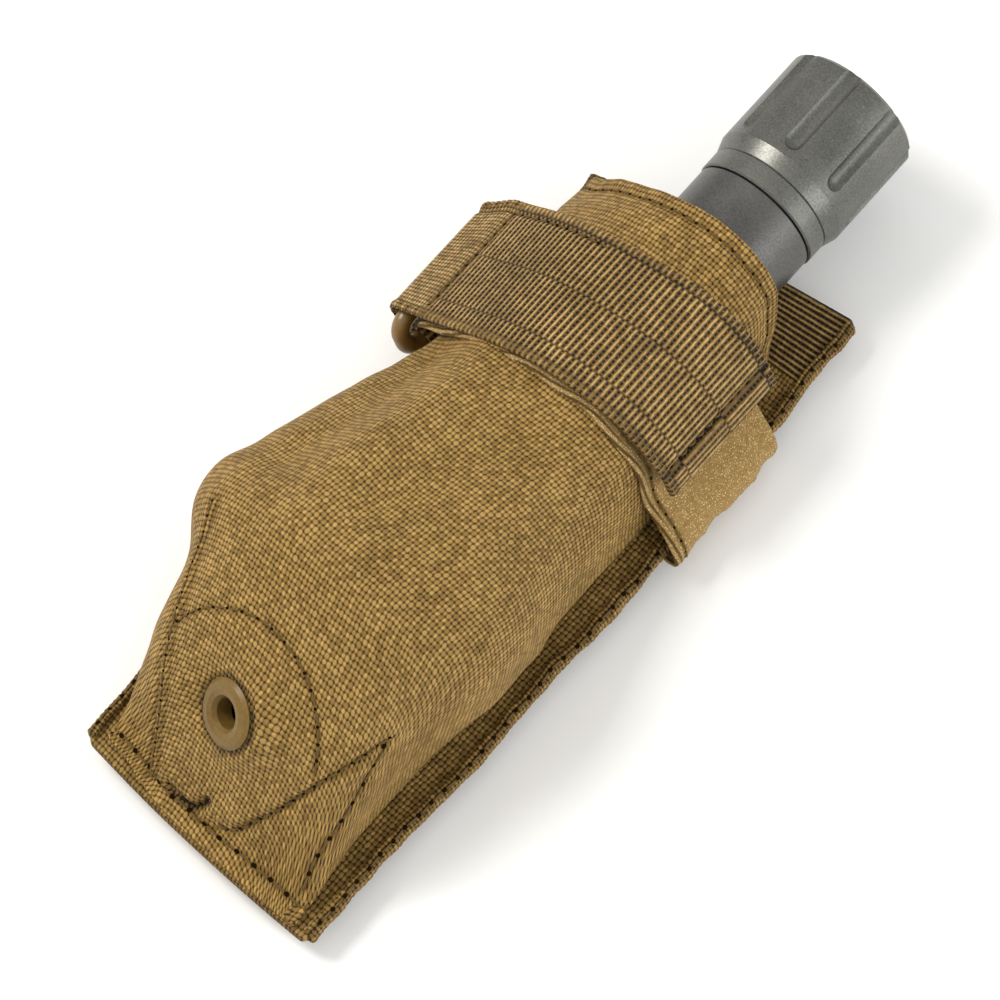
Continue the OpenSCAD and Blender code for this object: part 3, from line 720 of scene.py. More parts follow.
# Distance from the bottom seam, left side, right side, crest's X, crest's height, waist, power left, right.
STATIONS = np.array([
    [0, -25.6, 25.2, 3, 7.9, 7.6, 1, 1],
    [2.4, -25.6, 25, 3, 8.6, 7.8, 1, 1],
    [7, -25.4, 24.6, 3, 16.8, 9.3, 1, 1],
    [17, -26.4, 23.8, 1.6, 32.6, 13, 0.92, 0.9],
    [27, -29.8, 23.6, -0.4, 39.8, 15.5, 0.85, 0.84],
    [35, -32.5, 23.8, -1.8, 42.4, 17, 0.82, 0.82],
    [44, -37, 26, -2, 43.4, 18, 0.8, 0.8],
    [50, -38, 27.4, -1.6, 43.4, 18, 0.8, 0.8],
    [60, -35.9, 27, -0.5, 42.6, 17, 0.82, 0.84],
    [70, -34, 25.6, 1, 40.6, 15, 0.88, 0.88],
    [81, -32.3, 24.8, 3, 37.9, 12, 0.95, 0.95],
    [92, -29.4, 24.3, 4.3, 35.8, 8.6, 1, 1],
    [98, -28, 24.2, 4.5, 35.4, 7.8, 1, 1],
    [128, -27.8, 24.1, 4.5, 35.4, 7.8, 1, 1],
    [142.5, -27.6, 21.2, 4.5, 35.1, 7.8, 1.28, 0.96],
    [150, -27.6, 21.2, 4.5, 35.1, 7.8, 1.28, 0.96]])


def station(u):
    """The outline's numbers at distance u, on smooth curves through the stations."""
    at = STATIONS[:, 0]
    slope = np.gradient(STATIONS[:, 1:], at, axis=0)
    slope[at >= STRAIGHT_FROM] *= 0.35
    i = int(np.clip(np.searchsorted(at, u, "right") - 1, 0, len(at) - 2))
    h = at[i + 1] - at[i]
    s = (u - at[i]) / h
    a, b, c, d = STATIONS[i, 1:], STATIONS[i + 1, 1:], slope[i] * h, slope[i + 1] * h
    return (a * (2 * s ** 3 - 3 * s ** 2 + 1) + c * (s ** 3 - 2 * s ** 2 + s)
            + b * (3 * s ** 2 - 2 * s ** 3) + d * (s ** 3 - s ** 2))


def outline(u, count):
    """The pocket's cross-section at u: count points from left foot to right foot, evenly spaced."""
    left, right, crest, top, waist, power_l, power_r = station(u)
    waist = min(waist, top - 0.3)
    foot_l, foot_r = max(BASE_L, left), min(BASE_R, right)
    a = np.radians(np.linspace(90, 0, 40, endpoint=False))
    b = np.radians(np.linspace(0, 90, 161))

    def arc(x, side, angle, z, power=1):
        return np.stack([x + (side - x) * np.cos(angle) ** power,
                         waist + (z - waist) * np.sin(angle) ** power], -1)

    line = np.vstack([[[foot_l, FRONT_Z]], arc(foot_l, left, a, LIFT_Z), arc(crest, left, b, top, power_l),
                      arc(crest, right, b[::-1][1:], top, power_r), arc(foot_r, right, a[::-1], LIFT_Z),
                      [[foot_r, FRONT_Z]]])
    gone = lengths(line)
    at = np.linspace(0, gone[-1], count)
    return np.stack([np.interp(at, gone, line[:, 0]), np.interp(at, gone, line[:, 1])], -1)


def foot_shift(x):
    """The bottom edge isn't square: it runs lower towards the right."""
    x = np.asarray(x) / 28
    return -2.6 - 2.2 * x + 0.9 * x ** 2


def head_shift(x):
    """The panel's top edge slopes down to the left."""
    return -3.2 - 7.0 * np.clip((27.3 - np.asarray(x)) / 55.7, 0, 1)


def corner_shift(x, y):
    """The foot's left corner is drawn in sideways."""
    return 1.4 * smooth((-x - 4) / 26) * smooth((-60 - y) / 18)


def settle(points):
    """Moves the panel's layers to the soft, slightly askew shape that sewing leaves."""
    p = np.array(points, float)
    x, y = p[..., 0].copy(), p[..., 1].copy()
    low = np.clip((-y - 58) / 20.5, 0, 1)
    high = np.clip((y - 55) / 23.5, 0, 1)
    p[..., 1] += foot_shift(x) * low ** 1.3 + head_shift(x) * high
    p[..., 0] += corner_shift(x, y)
    middle = np.clip(1 - (y / 76) ** 2, 0, 1)
    p[..., 0] += 1.5 * middle * np.clip(x / 28, 0, 1) ** 2
    p[..., 0] += 0.35 * np.sin(y / 6.5 + 1) * np.clip((np.abs(x) - 14) / 14, 0, 1) * np.sign(x)
    return p


# ------------------------------------------------------------------ the pocket
COLS = 190
u_steps = np.concatenate([[0, 0.35, 0.8, 1.4], np.arange(2, 24, 0.6), np.arange(24, 140.6, 0.8),
                          [141.3, 141.8, 142.15, 142.35, 142.5]])
share = np.linspace(0, 1, COLS)
outer = np.zeros((len(u_steps), COLS, 3))
for row, u in enumerate(u_steps):
    # The mouth's left corner reaches higher than its middle, and its right corner is lower.
    stretch = 2.6 * smooth((0.16 - share) / 0.16) - 6.0 * smooth((share - 0.74) / 0.2)
    grow = smooth((u - 118) / 24.5)
    line = outline(u, COLS)
    outer[row, :, 0], outer[row, :, 2] = line[:, 0], line[:, 1]
    hem = foot_shift(line[:, 0]) + 0.5 + 2.2 * smooth((-7 - line[:, 0]) / 17)
    outer[row, :, 1] = u - PANEL_Y + stretch * grow + hem * np.clip(1 - u / 16, 0, 1) ** 2
    outer[row, :, 0] += corner_shift(line[:, 0], u - PANEL_Y)

pocket_n = grid_normals(outer, True)


def spot(x, u):
    """The place on the pocket's outside over x, at distance u from its bottom seam."""
    row = np.interp(u, u_steps, np.arange(len(u_steps)))
    r0 = min(int(row), len(u_steps) - 2)
    line = outer[r0] + (row - r0) * (outer[r0 + 1] - outer[r0])
    low, high = np.argmin(line[:, 0]), np.argmax(line[:, 0])
    col = np.interp(x, line[low:high + 1, 0], np.arange(low, high + 1))
    c0 = min(int(col), COLS - 2)
    return line[c0] + (col - c0) * (line[c0 + 1] - line[c0]), (u, share[c0] + (col - c0) * (share[1]))


def seam(points, count=70):
    """A smooth seam through (x, u) points: in space, and in the pocket's own coordinates."""
    both = [spot(x, u) for x, u in curve(points, count)]
    return np.array([b[0] for b in both]), np.array([b[1] for b in both])


# Seams as (x, distance from the bottom seam).
SEAMS = {
    "patch": [(-22.6, 19.5), (-22.4, 22.5), (-17, 26.2), (-8.3, 28.3), (-0.5, 27.3), (6.5, 24.6),
              (12.2, 19.8), (15, 15.2)],
    "dart": [(21, 29), (18.8, 20.5), (15.3, 13.5), (11.5, 8.6), (6.8, 4.6), (2.6, 3.4)],
    "side_dart": [(21, 27.2), (21.9, 19.6), (22.1, 13.2), (21.8, 7.8), (22.6, 3.8)],
    "left_seam": [(-31, 42), (-29, 36.5), (-27.4, 31.8), (-24.8, 25.2), (-21.6, 18.8), (-17.4, 11),
                  (-14.8, 6), (-13.2, 3)]}
PUCKER = [(-9, 3.4), (-6.4, 3.4), (-4.2, 3.1), (-2.2, 3.5), (-0.6, 5)]
seams = {name: seam(points) for name, points in SEAMS.items()}
# The mouth's hem stitches, from the mouth, and the bottom hem's, from the bottom seam.
MOUTH_HEM, FOOT_HEM = 3, 2.6

xx, uu = outer[..., 0], np.repeat(u_steps[:, None], COLS, 1)
tt = np.repeat(share[None], len(u_steps), 0)
d_patch, d_dart, d_second, d_left = [to_lines(outer, line) for line, _ in seams.values()]
d_pucker = to_lines(outer, seam(PUCKER, 40)[0])
region = inside(xx, uu, [(x, u) for x, u in curve(SEAMS["patch"], 60)] + SEAMS["dart"][2:]
                + [(-3, 2), (-13.4, 3), (-15, 6), (-18, 11)])
region &= (pocket_n[..., 2] > 0.05) | (uu < 6)
edge_patch = np.minimum(np.minimum(d_patch, d_dart), d_left)
mouth_gap = MOUTH - uu

relief = np.zeros_like(xx)
relief += 0.5 * ripples(tt * 120, uu, 34, 5)
relief += 0.16 * ripples(tt * 120, uu, 9, 8)
relief += np.where(region, 0.42 * smooth(edge_patch / 1.6), 0)
relief -= 0.28 * bell(d_patch, 0.7) + 0.45 * bell(d_dart, 0.75)
relief -= 0.32 * bell(d_second, 0.65)
relief += 0.3 * bell(d_dart - 2.0, 1.5) * (xx > 2)
relief += 0.3 * bell(d_left, 0.7) - 0.3 * bell(d_left - 1.5, 0.6)
relief -= 1.2 * bell(d_pucker, 0.7)
relief += 0.7 * bell(d_pucker - 2.0, 1.2) * smooth(uu / 4)
# A long soft ridge from the strap towards the left shoulder, with a hollow on each side of it.
ridge, _ = seam([(-13, 97), (-13.2, 84), (-13.6, 72), (-14.2, 60), (-15, 49)])
hollow, _ = seam([(-24, 92), (-24.5, 80), (-25, 68), (-27, 57)])
second_hollow, _ = seam([(4, 93), (2, 82), (-2, 70), (-6, 60)])
relief += 1.5 * bell(to_lines(outer, ridge), 5.0)
relief -= 2.0 * bell(to_lines(outer, hollow), 5.5)
relief -= 1.0 * bell(to_lines(outer, second_hollow), 6.0)
relief += 0.8 * hump(uu, 46, 13) * hump(tt, 0.2, 0.13)
# The mouth's turned hem, and the bottom hem.
relief += 0.3 * smooth((10 - mouth_gap) / 1.6) - 0.42 * bell(mouth_gap - MOUTH_HEM, 0.6)
relief -= 0.45 * bell(uu - FOOT_HEM, 0.6) * smooth(1 - d_pucker / 3)
relief *= smooth(uu / 1.0) * 0.85 + 0.15
relief *= smooth(np.minimum(tt, 1 - tt) / 0.06)

# Painted shade along the seams, the darts, the pucker and both hems.
dark = np.zeros_like(xx)
for distance, size, deep in ((d_patch, 0.5, 0.22), (d_dart, 0.5, 0.45), (d_second, 0.5, 0.3),
                             (d_pucker, 0.45, 1.0), (d_left - 1.3, 0.5, 0.25),
                             (mouth_gap - MOUTH_HEM, 0.45, 0.3), (uu - FOOT_HEM, 0.45, 0.3)):
    dark = np.maximum(dark, deep * bell(distance, size))

# Flatten the cloth under the grommet, and open it.
WASHER_TO_FACE, DRAIN_RADIUS = 1.98, 3.75
washer_lo, washer_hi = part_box("grommet_washer")
drain_axis = unit(np.array([-0.36, -0.76, 0.54]))
drain = np.array((washer_lo + washer_hi) / 2) * 1000 + drain_axis * WASHER_TO_FACE
surface = outer + pocket_n * relief[..., None]
off = surface - drain
height = off @ drain_axis
far = np.linalg.norm(off - height[..., None] * drain_axis, axis=-1)
pull = (1 - smooth((far - 5.5) / 6.5)) * (np.abs(height) < 9)
surface = surface + (pull * (0.55 + 0.5 * smooth((far - 5) / 3) - height))[..., None] * drain_axis
surface = surface - (0.35 * bell(far - 7.2, 0.7) * (np.abs(height) < 6))[..., None] * drain_axis
# Painted shade in a ring round the grommet, where the cloth dips to the washer.
dark = np.maximum(dark, 0.7 * bell(far - 6.9, 0.5) * (np.abs(height) < 6))

middle = surface - grid_normals(surface, True) * WALL / 2
length_a, length_b = grid_lengths(outer)
cloth_uv = (length_b - length_b[:, COLS // 2:COLS // 2 + 1] + 200, length_a - length_a[-1:] + 400)
pocket = Sheet("pouch_front_cloth", middle, u_steps, share, WALL, CLOTH, marks={"painted_shade": dark}, flip=True,
               uv_grid=cloth_uv, hole=(drain, drain_axis, DRAIN_RADIUS))
join(pocket.object, "pouch", "pocket_front")

# The D-shaped patch inside the foot, which the washer clamps. It takes part of the pocket's rows and
# columns, and its top corners are drawn down.
PATCH_U0, PATCH_U1, PATCH_T0, PATCH_T1, PATCH_DEPTH = 4.5, 27, 0.27, 0.69, 0.28
rows = np.where((u_steps > PATCH_U0) & (u_steps < PATCH_U1))[0]
cols = np.where((share > PATCH_T0) & (share < PATCH_T1))[0]
inner = (surface - grid_normals(surface, True) * (WALL + PATCH_DEPTH))[np.ix_(rows, cols)]
patch_u, patch_t = np.meshgrid(u_steps[rows], share[cols], indexing="ij")
across = 2 * (patch_t - PATCH_T0) / (PATCH_T1 - PATCH_T0) - 1
round_top = np.sqrt(np.clip(1 - across ** 2, 0.0, 1)) ** 0.8
target_u = PATCH_U0 + (patch_u - PATCH_U0) * (0.45 + 0.55 * round_top)
for j in range(len(cols)):
    for k in range(3):
        inner[:, j, k] = np.interp(target_u[:, j], patch_u[:, j], inner[:, j, k])
drain_patch = Sheet("drain_patch_cloth", inner, u_steps[rows], share[cols], 0.42, CLOTH, flip=True,
                    hole=(drain, drain_axis, DRAIN_RADIUS))
join(drain_patch.object, "pouch", "grommet_patch")

for seam_name, pitch, hole in (("patch", 3.2, 0.3), ("dart", 2.6, 0.27), ("side_dart", 3.6, 0.45),
                               ("left_seam", 2.8, 0.27)):
    sewn_line("stitches_" + seam_name, pocket, seams[seam_name][1], pitch=pitch, hole=hole)
sewn_line("stitches_mouth", pocket, line_across(MOUTH - MOUTH_HEM, 0.02, 0.98, 120), pitch=2.9)
sewn_line("stitches_hem", pocket, line_across(FOOT_HEM, 0.07, 0.94, 120), pitch=4.0, hole=0.5)


# ------------------------------------------------------------------ panel layers
def flat(name, replaced, x0, x1, y0, y1, z, thick, material, slot, pitch=1.1, relief=None, marks=None,
         body="pouch", warp=settle, wave=0.12, seed=1, down=False, corner=1.6, uv_turn=False):
    """A level layer of the panel. Its face looks up, or down when down is set. relief and marks are
    functions of x and y."""
    a, b = steps(y1 - y0, pitch, y0), steps(x1 - x0, pitch, x0)
    yy, xs = np.meshgrid(a, b, indexing="ij")
    # Rounded corners: rows near an end are drawn in a little.
    near = np.clip(1 - np.minimum(yy - y0, y1 - yy) / corner, 0, 1)
    half = (x1 - x0) / 2
    drawn_in = corner / half * (1 - np.sqrt(np.clip(1 - near ** 2, 0, 1)))
    xs = (x0 + half) + (xs - x0 - half) * (1 - drawn_in)
    zz = z + wave * ripples(xs, yy, 30, seed)
    grid = np.stack([xs, yy, zz], -1)
    grid = warp(grid) if warp else grid
    uv = (yy + 200, xs + 100 * LONG_RIB) if uv_turn else (xs + 128 * BEAD, yy + 200 * WIDE_RIB)
    made = Sheet(name, grid, a, b, thick, material, relief=relief(xs, yy) if relief else 0.0,
                 marks={k: f(xs, yy) for k, f in (marks or {}).items()}, flip=not down, uv_grid=uv)
    join(made.object, body, replaced)
    return made


def top_relief(x, y):
    beads = ribs(x, BEAD, math.pi * 0.5 * np.floor(y / WIDE_RIB))
    return 0.32 * ribs(y, WIDE_RIB) ** 0.7 * (0.72 + 0.28 * beads)


PLY_X = 28.1
flat("back_panel_cloth", "back_panel", -PLY_X, PLY_X, -PANEL_Y, PANEL_Y, 4.75, 1.0, CLOTH, "pack_cloth",
     down=True)
flat("panel_lining_cloth", "panel_lining", -PLY_X, PLY_X, -PANEL_Y, 59.5, 5.82, 1.0, LINING, "pack_cloth",
     relief=lambda x, y: 0.25 * ripples(x, y, 6, 4), seed=3)
# The strip's mark paints shade between its ribs.
flat("top_webbing_strip", "top_webbing", -PLY_X, PLY_X, 59.6, PANEL_Y, 5.8, 0.9, WIDE_WEBBING, "webbing",
     pitch=0.27, relief=top_relief,
     marks={"painted_shade": lambda x, y: 0.45 * (1 - ribs(y, WIDE_RIB)) ** 1.5, "fine": none})


def binding(side, name):
    """Tape folded over the panel's long edge, at the right for side 1 and at the left for side -1."""
    lip, out, low, high = 26.9, 28.45, 3.75, 6.95
    seam_in = 1.1
    turn = [(lip, low), (27.5, low - 0.08), (28.15, low + 0.1), (out, low + 0.7), (out + 0.05, 5.35),
            (out, high - 0.7), (28.15, high - 0.08), (27.5, high + 0.1), (lip, high)]
    path = along(curve(turn, 60), 0.3)
    a = steps(2 * PANEL_Y - 2, 0.45, -PANEL_Y + 1)
    gone = lengths(path)
    yy, bb = np.meshgrid(a, gone, indexing="ij")
    grid = np.stack([side * path[:, 0] + 0 * yy, yy, path[:, 1] + 0 * yy], -1)
    grid[..., 0] += side * 0.3 * ripples(bb, yy, 9, 11 + side)
    seams_at = bell(bb - gone[-1] + seam_in, 0.4) + bell(bb - seam_in, 0.4)
    rib = ribs(yy, 1.25, 0.5 * np.sin(bb * 2))
    # Painted shade along the tape's seams and between its ribs.
    made = Sheet(name, settle(grid), a, gone, 0.55, TAPE, relief=0.22 * rib ** 0.7 - 0.28 * seams_at,
                 marks={"painted_shade": np.clip(0.6 * seams_at + 0.5 * (1 - rib) ** 2, 0, 1)}, flip=side < 0,
                 uv_grid=(bb + 50, yy + 200))
    join(made.object, "pouch", "edge_binding")
    sewn_line(name + "_stitches", made, line_along(gone[-1] - seam_in, -75, 75, 60),
              pitch=3.3, hole=0.42)


binding(1, "binding_right")
binding(-1, "binding_left")


# ------------------------------------------------------------------ bands of webbing
def ribbon(name, replaced, path, y0, y1, thick, material, body, pitch=0.5, across=0.6, relief=None,
           marks=None, flip=False, shift=None, warp=None, uv_turn=False):
    """A band that follows a path in the XZ plane and reaches from y0 to y1. relief and marks are
    functions of the distance along, the distance across and the band's length."""
    path = np.asarray(path, float)
    fine = along(path, 0.1)
    gone = lengths(fine)
    a = steps(gone[-1], pitch)
    b = steps(y1 - y0, across)
    aa, bb = np.meshgrid(a, b, indexing="ij")
    x, z = np.interp(aa, gone, fine[:, 0]), np.interp(aa, gone, fine[:, 1])
    grid = np.stack([x, y0 + bb, z], -1)
    if shift is not None:
        grid = grid + shift(aa / gone[-1], bb / (y1 - y0))
    if warp is not None:
        grid = warp(grid)
    uv = (aa + 120, bb + 100 * LONG_RIB) if uv_turn else (bb + 16 * LANE - LANE_AT, aa + 100 * RIB)
    made = Sheet(name, grid, a, b, thick, material, relief=relief(aa, bb, gone[-1]) if relief else 0.0,
                 marks={k: f(aa, bb, gone[-1]) for k, f in (marks or {}).items()}, flip=flip, uv_grid=uv)
    join(made.object, body, replaced)
    made.length = gone[-1]
    return made


def bezier(points, count=30):
    t = np.linspace(0, 1, count)[:, None]
    p = [np.array(q, float) for q in points]
    return (1 - t) ** 3 * p[0] + 3 * t * (1 - t) ** 2 * p[1] + 3 * t ** 2 * (1 - t) * p[2] + t ** 3 * p[3]


# Closure strap: two plies round the ring's outer bar, the outer one ribbed.
STRAP_WIDTH, SELVEDGE = 30.0, 1.7


def knots(a, b):
    """The thick stitches of the strap's selvedges, 1 on each."""
    return ribs(a, RIB, 1.2 * (b > STRAP_WIDTH / 2))


def ropes(a, b, amount, calm):
    """Rope-like ribs across the strap, broken by lengthwise lines, with a thick selvedge."""
    rib = ribs(a / RIB + 0.5 * (np.floor((b - LANE_AT) / LANE) % 2), 1.0)
    at_edge = np.minimum(b, STRAP_WIDTH - b)
    line = (b - LANE_AT) % LANE
    line = np.minimum(line, LANE - line)
    out = amount * rib ** 0.8 * (1 - 0.6 * bell(line, 0.35) * (at_edge > 2))
    edge = amount * 1.5 * knots(a, b) ** 0.8
    edge = edge * np.sin(math.pi * np.clip(at_edge / SELVEDGE, 0.15, 0.9)) ** 0.5
    return np.where(at_edge < SELVEDGE, edge, out * (1 - calm))


# Painted shade between the selvedge's knots and along the line inside the selvedge.
def selvedge_painted_shade(a, b):
    at_edge = np.minimum(b, STRAP_WIDTH - b)
    return 0.3 * (1 - knots(a, b)) ** 3 * (at_edge < SELVEDGE) + 0.2 * bell(at_edge - 1.75, 0.3)


RING_OUT = np.array([-34.9, 12.75])
RING_IN = np.array([-32.2, 5.55])
ARCH_X, CREST_Z = 4.5, 37.75


def closure_path(offset, first, last):
    """The strap's middle line moved outwards by offset, between two shares of its length."""
    wrap = np.array([RING_OUT + (2.7 + offset) * heading(a) for a in np.linspace(285, 130, 24)])
    lead = wrap[-1] + 18 * heading(40)
    rise = bezier([wrap[-1], lead, [ARCH_X - 17, CREST_Z + offset], [ARCH_X, CREST_Z + offset]], 40)
    fall = bezier([[ARCH_X, CREST_Z + offset], [ARCH_X + 11, CREST_Z + offset],
                   [23.6 + offset, 30.2 + offset * 0.5], [26.8 + offset, 20]], 40)
    path = along(np.vstack([wrap, rise[1:], fall[1:]]), 0.2)
    return path[int(first * (len(path) - 1)):int(last * (len(path) - 1)) + 1]


def strap_drift(s, w):
    """The strap doesn't lie quite square: its free end drifts towards the mouth."""
    out = np.zeros(s.shape + (3,))
    out[..., 1] = -0.6 + 2.0 * smooth((s - 0.45) / 0.5) + 0.9 * smooth((0.25 - s) / 0.25)
    out[..., 1] += 0.3 * np.sin(s * 9) * (w - 0.5) - 2.4 * w * smooth((0.17 - s) / 0.09)
    out[..., 2] = 0.35 * np.sin(s * 14 + 3 * w) * smooth(s / 0.3)
    return out


# The stitched fold near the ring, the free end's hem, and the seam beside the upper edge.
FOLD, END_HEM, EDGE_SEAM = 16.5, 5.2, 27.2


def upper_seam(a, b, total, width):
    return bell(b - EDGE_SEAM, width) * smooth((total * 0.52 - a) / 5)


def fold_seam(a, b, width):
    return bell(a - FOLD, width) * (b > 3) * (b < 27.5)


def closure_relief(a, b, total):
    out = ropes(a, b, 0.24, calm=0.75 * smooth((FOLD + 5 - a) / 7))
    out = out - 0.3 * upper_seam(a, b, total, 0.45) - 0.45 * fold_seam(a, b, 0.6)
    out = out - 0.75 * bell(a - total + END_HEM, 0.75) * (b > 2)
    return out + 0.5 * smooth((a - total + END_HEM - 0.6) / 1.2)


# Painted shade along the seams, the fold and the end hem, and at the selvedges.
def closure_painted_shade(a, b, total):
    seams_at = 0.3 * upper_seam(a, b, total, 0.4) + 0.5 * fold_seam(a, b, 0.45)
    return np.clip(seams_at + 0.6 * bell(a - total + END_HEM, 0.6) + selvedge_painted_shade(a, b), 0, 1)


closure = ribbon("closure_strap_webbing", "closure_strap", closure_path(0.33, 0, 1), 20, 50, 0.62, WEBBING,
                 "strap", pitch=0.19, across=0.3, relief=closure_relief, shift=strap_drift,
                 marks={"painted_shade": closure_painted_shade, "fine": lambda a, b, t: smooth((FOLD + 3 - a) / 5)})
# The under ply is painted a little darker all over, as shade under the outer ply.
ribbon("closure_strap_under_ply", "closure_strap", closure_path(-0.33, 0.02, 1), 20.25, 49.6, 0.58, WEBBING,
       "strap", pitch=0.5, across=0.5, shift=strap_drift,
       marks={"painted_shade": lambda a, b, t: 0.2 + 0 * a, "fine": lambda a, b, t: 1 + 0 * a})
for seam_name, pitch, route in (
        ("stitches_fold", 2.6, line_across(FOLD, 3, 27, 40)),
        ("stitches_strap_edge", 2.8, line_along(EDGE_SEAM, FOLD, closure.length * 0.5, 60)),
        ("stitches_strap_end", 2.4, line_across(closure.length - END_HEM, 3, 27, 40))):
    sewn_line(seam_name, closure, route, "strap", pitch=pitch)

ribbon("hook_tape", "hook_patch", closure_path(-0.95, 0.83, 0.995), 22.8, 47.2, 0.5, HOOKS,
       "strap", pitch=0.6, across=0.6, shift=strap_drift,
       relief=lambda a, b, t: -0.05 * np.abs(np.sin(a * 2.2)) * np.abs(np.sin(b * 2.2)))


# Loop strap: pile face out, from behind the right edge over the pocket to the ring.
ARCH_L, ARCH_R, ARCH_Z, ARCH_H, LOOP_GAP = 32.3, 19.7, 7.8, 27.6, 0.7


def over_arch(angle, side):
    """A place over the pocket's arch, on its right for side 1 and on its left for side -1."""
    reach = LOOP_GAP + (ARCH_L if side < 0 else ARCH_R)
    c, s = heading(angle)
    return np.array([ARCH_X + side * reach * c, ARCH_Z + (ARCH_H + LOOP_GAP) * s])


loop_line = np.vstack([
    [[24.6, 2.8], [27.5, 2.75]],
    bezier([[29.4, 2.75], [31.4, 2.75], [32.6, 4], [32.6, 6.6]], 14),
    bezier([[32.6, 6.6], [32.6, 12], [24.9, 13.6], over_arch(24, 1)], 24)[1:],
    [over_arch(a, 1) for a in np.linspace(26, 90, 30)],
    [over_arch(a, -1) for a in np.linspace(88, 44, 22)],
    bezier([over_arch(44, -1), [-22.9, 23.9], [-28.4, 19], [-30.7, 16.4]], 12)[1:]])


def loop_drift(s, w):
    out = np.zeros(s.shape + (3,))
    edge = smooth((0.34 - s) / 0.2)
    out[..., 1] = -3.0 * edge + 0.25 * np.sin(s * 40 + w)
    out[..., 1] += 1.2 * (0.5 - w) * edge
    out[..., 0] = 0.35 * np.sin(w * 11 + 0.6) * edge + 0.2 * np.sin(w * 27) * edge
    return out


LOOP_SEAM, CORD_WIDTH = 2.6, 1.6
# Its mark paints shade along the seam beside the corded edge.
loop_band = ribbon("loop_strap_pile", "loop_strap", loop_line, 19, 50, 1.0, PILE, "pouch",
                   pitch=0.6, across=0.5, flip=True, shift=loop_drift,
                   relief=lambda a, b, t: (0.14 * ripples(a, b, 2.2, 21, 40)
                                           - 0.35 * bell(b - LOOP_SEAM, 0.5)),
                   marks={"painted_shade": lambda a, b, t: 0.55 * bell(b - LOOP_SEAM, 0.4),
                          "fine": lambda a, b, t: smooth((CORD_WIDTH - b) / 0.5)})
sewn_line("stitches_loop_edge", loop_band, line_along(LOOP_SEAM, 6, 32, 40), "pouch",
          pitch=3.0)

# The ring's tab: webbing round the inner bar, sewn under the panel.
TAB_RADIUS = 1.7 + 0.35 + 0.6
tab_z = RING_IN[1] - TAB_RADIUS
tab_line = np.vstack([[[-23.6, tab_z], [-28, tab_z]],
                      [RING_IN + TAB_RADIUS * heading(a) for a in np.linspace(270, -40, 40)]])
ribbon("ring_tab_webbing", "ring_tab", tab_line, 21.5, 46.5, 1.1, WEBBING, "pouch", pitch=0.3,
       across=0.6, relief=lambda a, b, t: 0.16 * ribs(a, RIB) ** 0.8, marks={"painted_shade": none, "fine": none})

# ------------------------------------------------------------------ the back
half_row = [(12.6, 0.62), (14.2, 0.85), (17.6, 3.3), (19.5, 3.5), (23, 3.5)]
row_path = curve([(-x, z) for x, z in half_row[::-1]] + [(0, 0.6)] + half_row, 120)
ROW_SEAM = 2.2


def row_seams(a, total, width):
    return bell(a - ROW_SEAM, width) + bell(total - a - ROW_SEAM, width)


for row_name, y in (("upper_row", 50.8), ("middle_row", 0.0), ("lower_row", -50.8)):
    # Each row's mark paints shade along its two end seams.
    row = ribbon(row_name + "_webbing", row_name, row_path, y - 12.5, y + 12.5, 0.95, LONG_WEBBING,
                 "pouch", pitch=0.55, across=0.24, warp=settle, flip=True, uv_turn=True,
                 relief=lambda a, b, t: 0.14 * ribs(b, LONG_RIB) ** 0.8 - 0.3 * row_seams(a, t, 0.5),
                 marks={"painted_shade": lambda a, b, t: 0.6 * row_seams(a, t, 0.45), "fine": none})
    for end, at_a in (("a", ROW_SEAM), ("b", row.length - ROW_SEAM)):
        sewn_line(f"{row_name}_stitches_{end}", row, line_across(at_a, 1.5, 23.5, 30),
                  pitch=2.2)


def carry_piece(name, replaced, y0, y1, z, thick, pitch, corner, **more):
    """A flat length of the carrying strap's webbing, face down."""
    return flat(name, replaced, -12.7, 12.7, y0, y1, z, thick, LONG_WEBBING, "webbing", pitch=pitch,
                marks={"painted_shade": none, "fine": none}, down=True, wave=0.0, corner=corner, uv_turn=True,
                **more)


def carry_relief(x, y):
    return 0.12 * ribs(x, LONG_RIB) ** 0.8


carry = carry_piece("carry_strap_webbing", "carry_strap", -61.5, 72, 2.25, 1.15, 0.3, 0.8,
                    relief=carry_relief)
carry_piece("carry_strap_fold", "carry_strap", 65, 71.8, 3.5, 1.1, 0.5, 0.8)
sewn_line("carry_stitches", carry, [(67 + 0.02 * k, -11 + k * 0.22) for k in range(100)],
          pitch=2.4)
snap_tab = carry_piece("snap_tab_webbing", "snap_tab", -77.4, -61.6, 2.25, 1.15, 0.3, 4.0,
                       relief=carry_relief, body=None, warp=None)
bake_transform(snap_tab.object)

# ------------------------------------------------------------------ CAD pieces and their materials
LOOKS = (
    (PAINTED, "snap_stud snap_cap snap_socket drain_grommet grommet_washer"), (RING, "strap_ring"),
    (BARREL, "barrel"), (CAP, "head_shell tail_cap bezel_ring"), (BARE, "switch_retainer"),
    (BLACK, "switch_module"), (STEEL, "tail_spring head_spring"), (CELL, "cells"),
    (RUBBER, "tail_oring head_oring switch_boot lens_gasket"), (BRASS, "lamp_pill"),
    (BOARD, "driver_board"), (EMITTER, "emitter_board"), (MIRROR, "reflector"), (GLASS, "lens"))
for look, node_names in LOOKS:
    for node_name in node_names.split():
        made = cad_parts[node_name]
        made.data.materials.clear()
        made.data.materials.append(look)

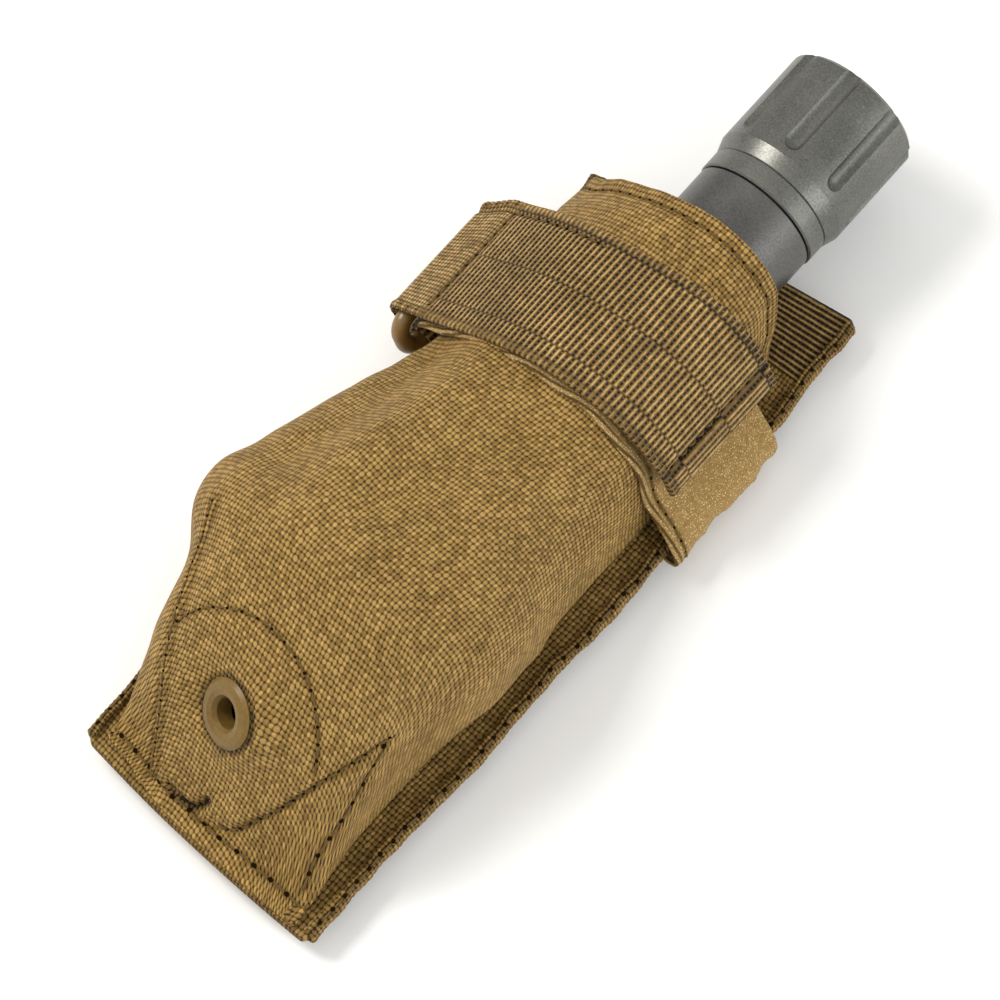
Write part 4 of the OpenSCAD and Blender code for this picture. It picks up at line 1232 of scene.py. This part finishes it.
# ------------------------------------------------------------------ floor, light and camera
FLOOR_HALF, FLOOR_GAP = 1.5, 0.0004
floor_z = cad_box[0][2] - FLOOR_GAP
mesh = bpy.data.meshes.new("floor")
corners = ((-FLOOR_HALF, -FLOOR_HALF), (FLOOR_HALF, -FLOOR_HALF), (FLOOR_HALF, FLOOR_HALF),
           (-FLOOR_HALF, FLOOR_HALF))
mesh.from_pydata([(x, y, floor_z) for x, y in corners], [], [(0, 1, 2, 3)])
floor = bpy.data.objects.new("floor", mesh)
bpy.context.scene.collection.objects.link(floor)
floor_look = Graph("floor_paint")
grain = floor_look.noise(floor_look.place(), 40.0, 3.0)
pale = floor_look.mix(grain, (0.86, 0.86, 0.85, 1), (0.9, 0.9, 0.89, 1))
mesh.materials.append(floor_look.finish(pale, None, 0.9))

scene = bpy.context.scene
scene.view_settings.view_transform = "Standard"
world = bpy.data.worlds.new("soft_white")
world.use_nodes = True
world.node_tree.nodes["Background"].inputs["Color"].default_value = (1, 0.99, 0.97, 1)
world.node_tree.nodes["Background"].inputs["Strength"].default_value = 0.82
scene.world = world


def lamp(name, energy, size, place, aim, colour=(1, 1, 1)):
    data = bpy.data.lights.new(name, "AREA")
    data.energy, data.size, data.color = energy, size, colour
    made = bpy.data.objects.new(name, data)
    scene.collection.objects.link(made)
    made.location = place
    made.rotation_euler = (Vector(aim) - Vector(place)).to_track_quat("-Z", "Y").to_euler()


# The camera stands as the photo's does: turned from the panel's long way, and high over the panel.
CAMERA_AZ, CAMERA_EL = math.radians(39.8), math.radians(66.8)
CAMERA_FAR, CAMERA_LENS = 1.2, 237.2
aim = Vector((0.00193, 0.00362, 0.01237))
right = Vector((math.cos(CAMERA_AZ), math.sin(CAMERA_AZ), 0))
back = Vector((math.cos(CAMERA_EL) * math.sin(CAMERA_AZ), -math.cos(CAMERA_EL) * math.cos(CAMERA_AZ),
               math.sin(CAMERA_EL)))
up = back.cross(right)
lamp("key", 6.6, 0.35, aim + (up * 0.5 - right * 0.55 + back * 0.6), aim, (1, 0.98, 0.95))
lamp("fill", 4.2, 0.6, aim + (right * 0.7 - up * 0.3 + back * 0.5), aim, (0.95, 0.97, 1))

camera_data = bpy.data.cameras.new("camera")
camera_data.lens, camera_data.sensor_width = CAMERA_LENS, 36
camera_data.clip_start, camera_data.clip_end = 0.05, 10
camera = bpy.data.objects.new("camera", camera_data)
scene.collection.objects.link(camera)
camera.location = aim + back * CAMERA_FAR
camera.rotation_euler = back.to_track_quat("Z", "Y").to_euler()
scene.camera = camera
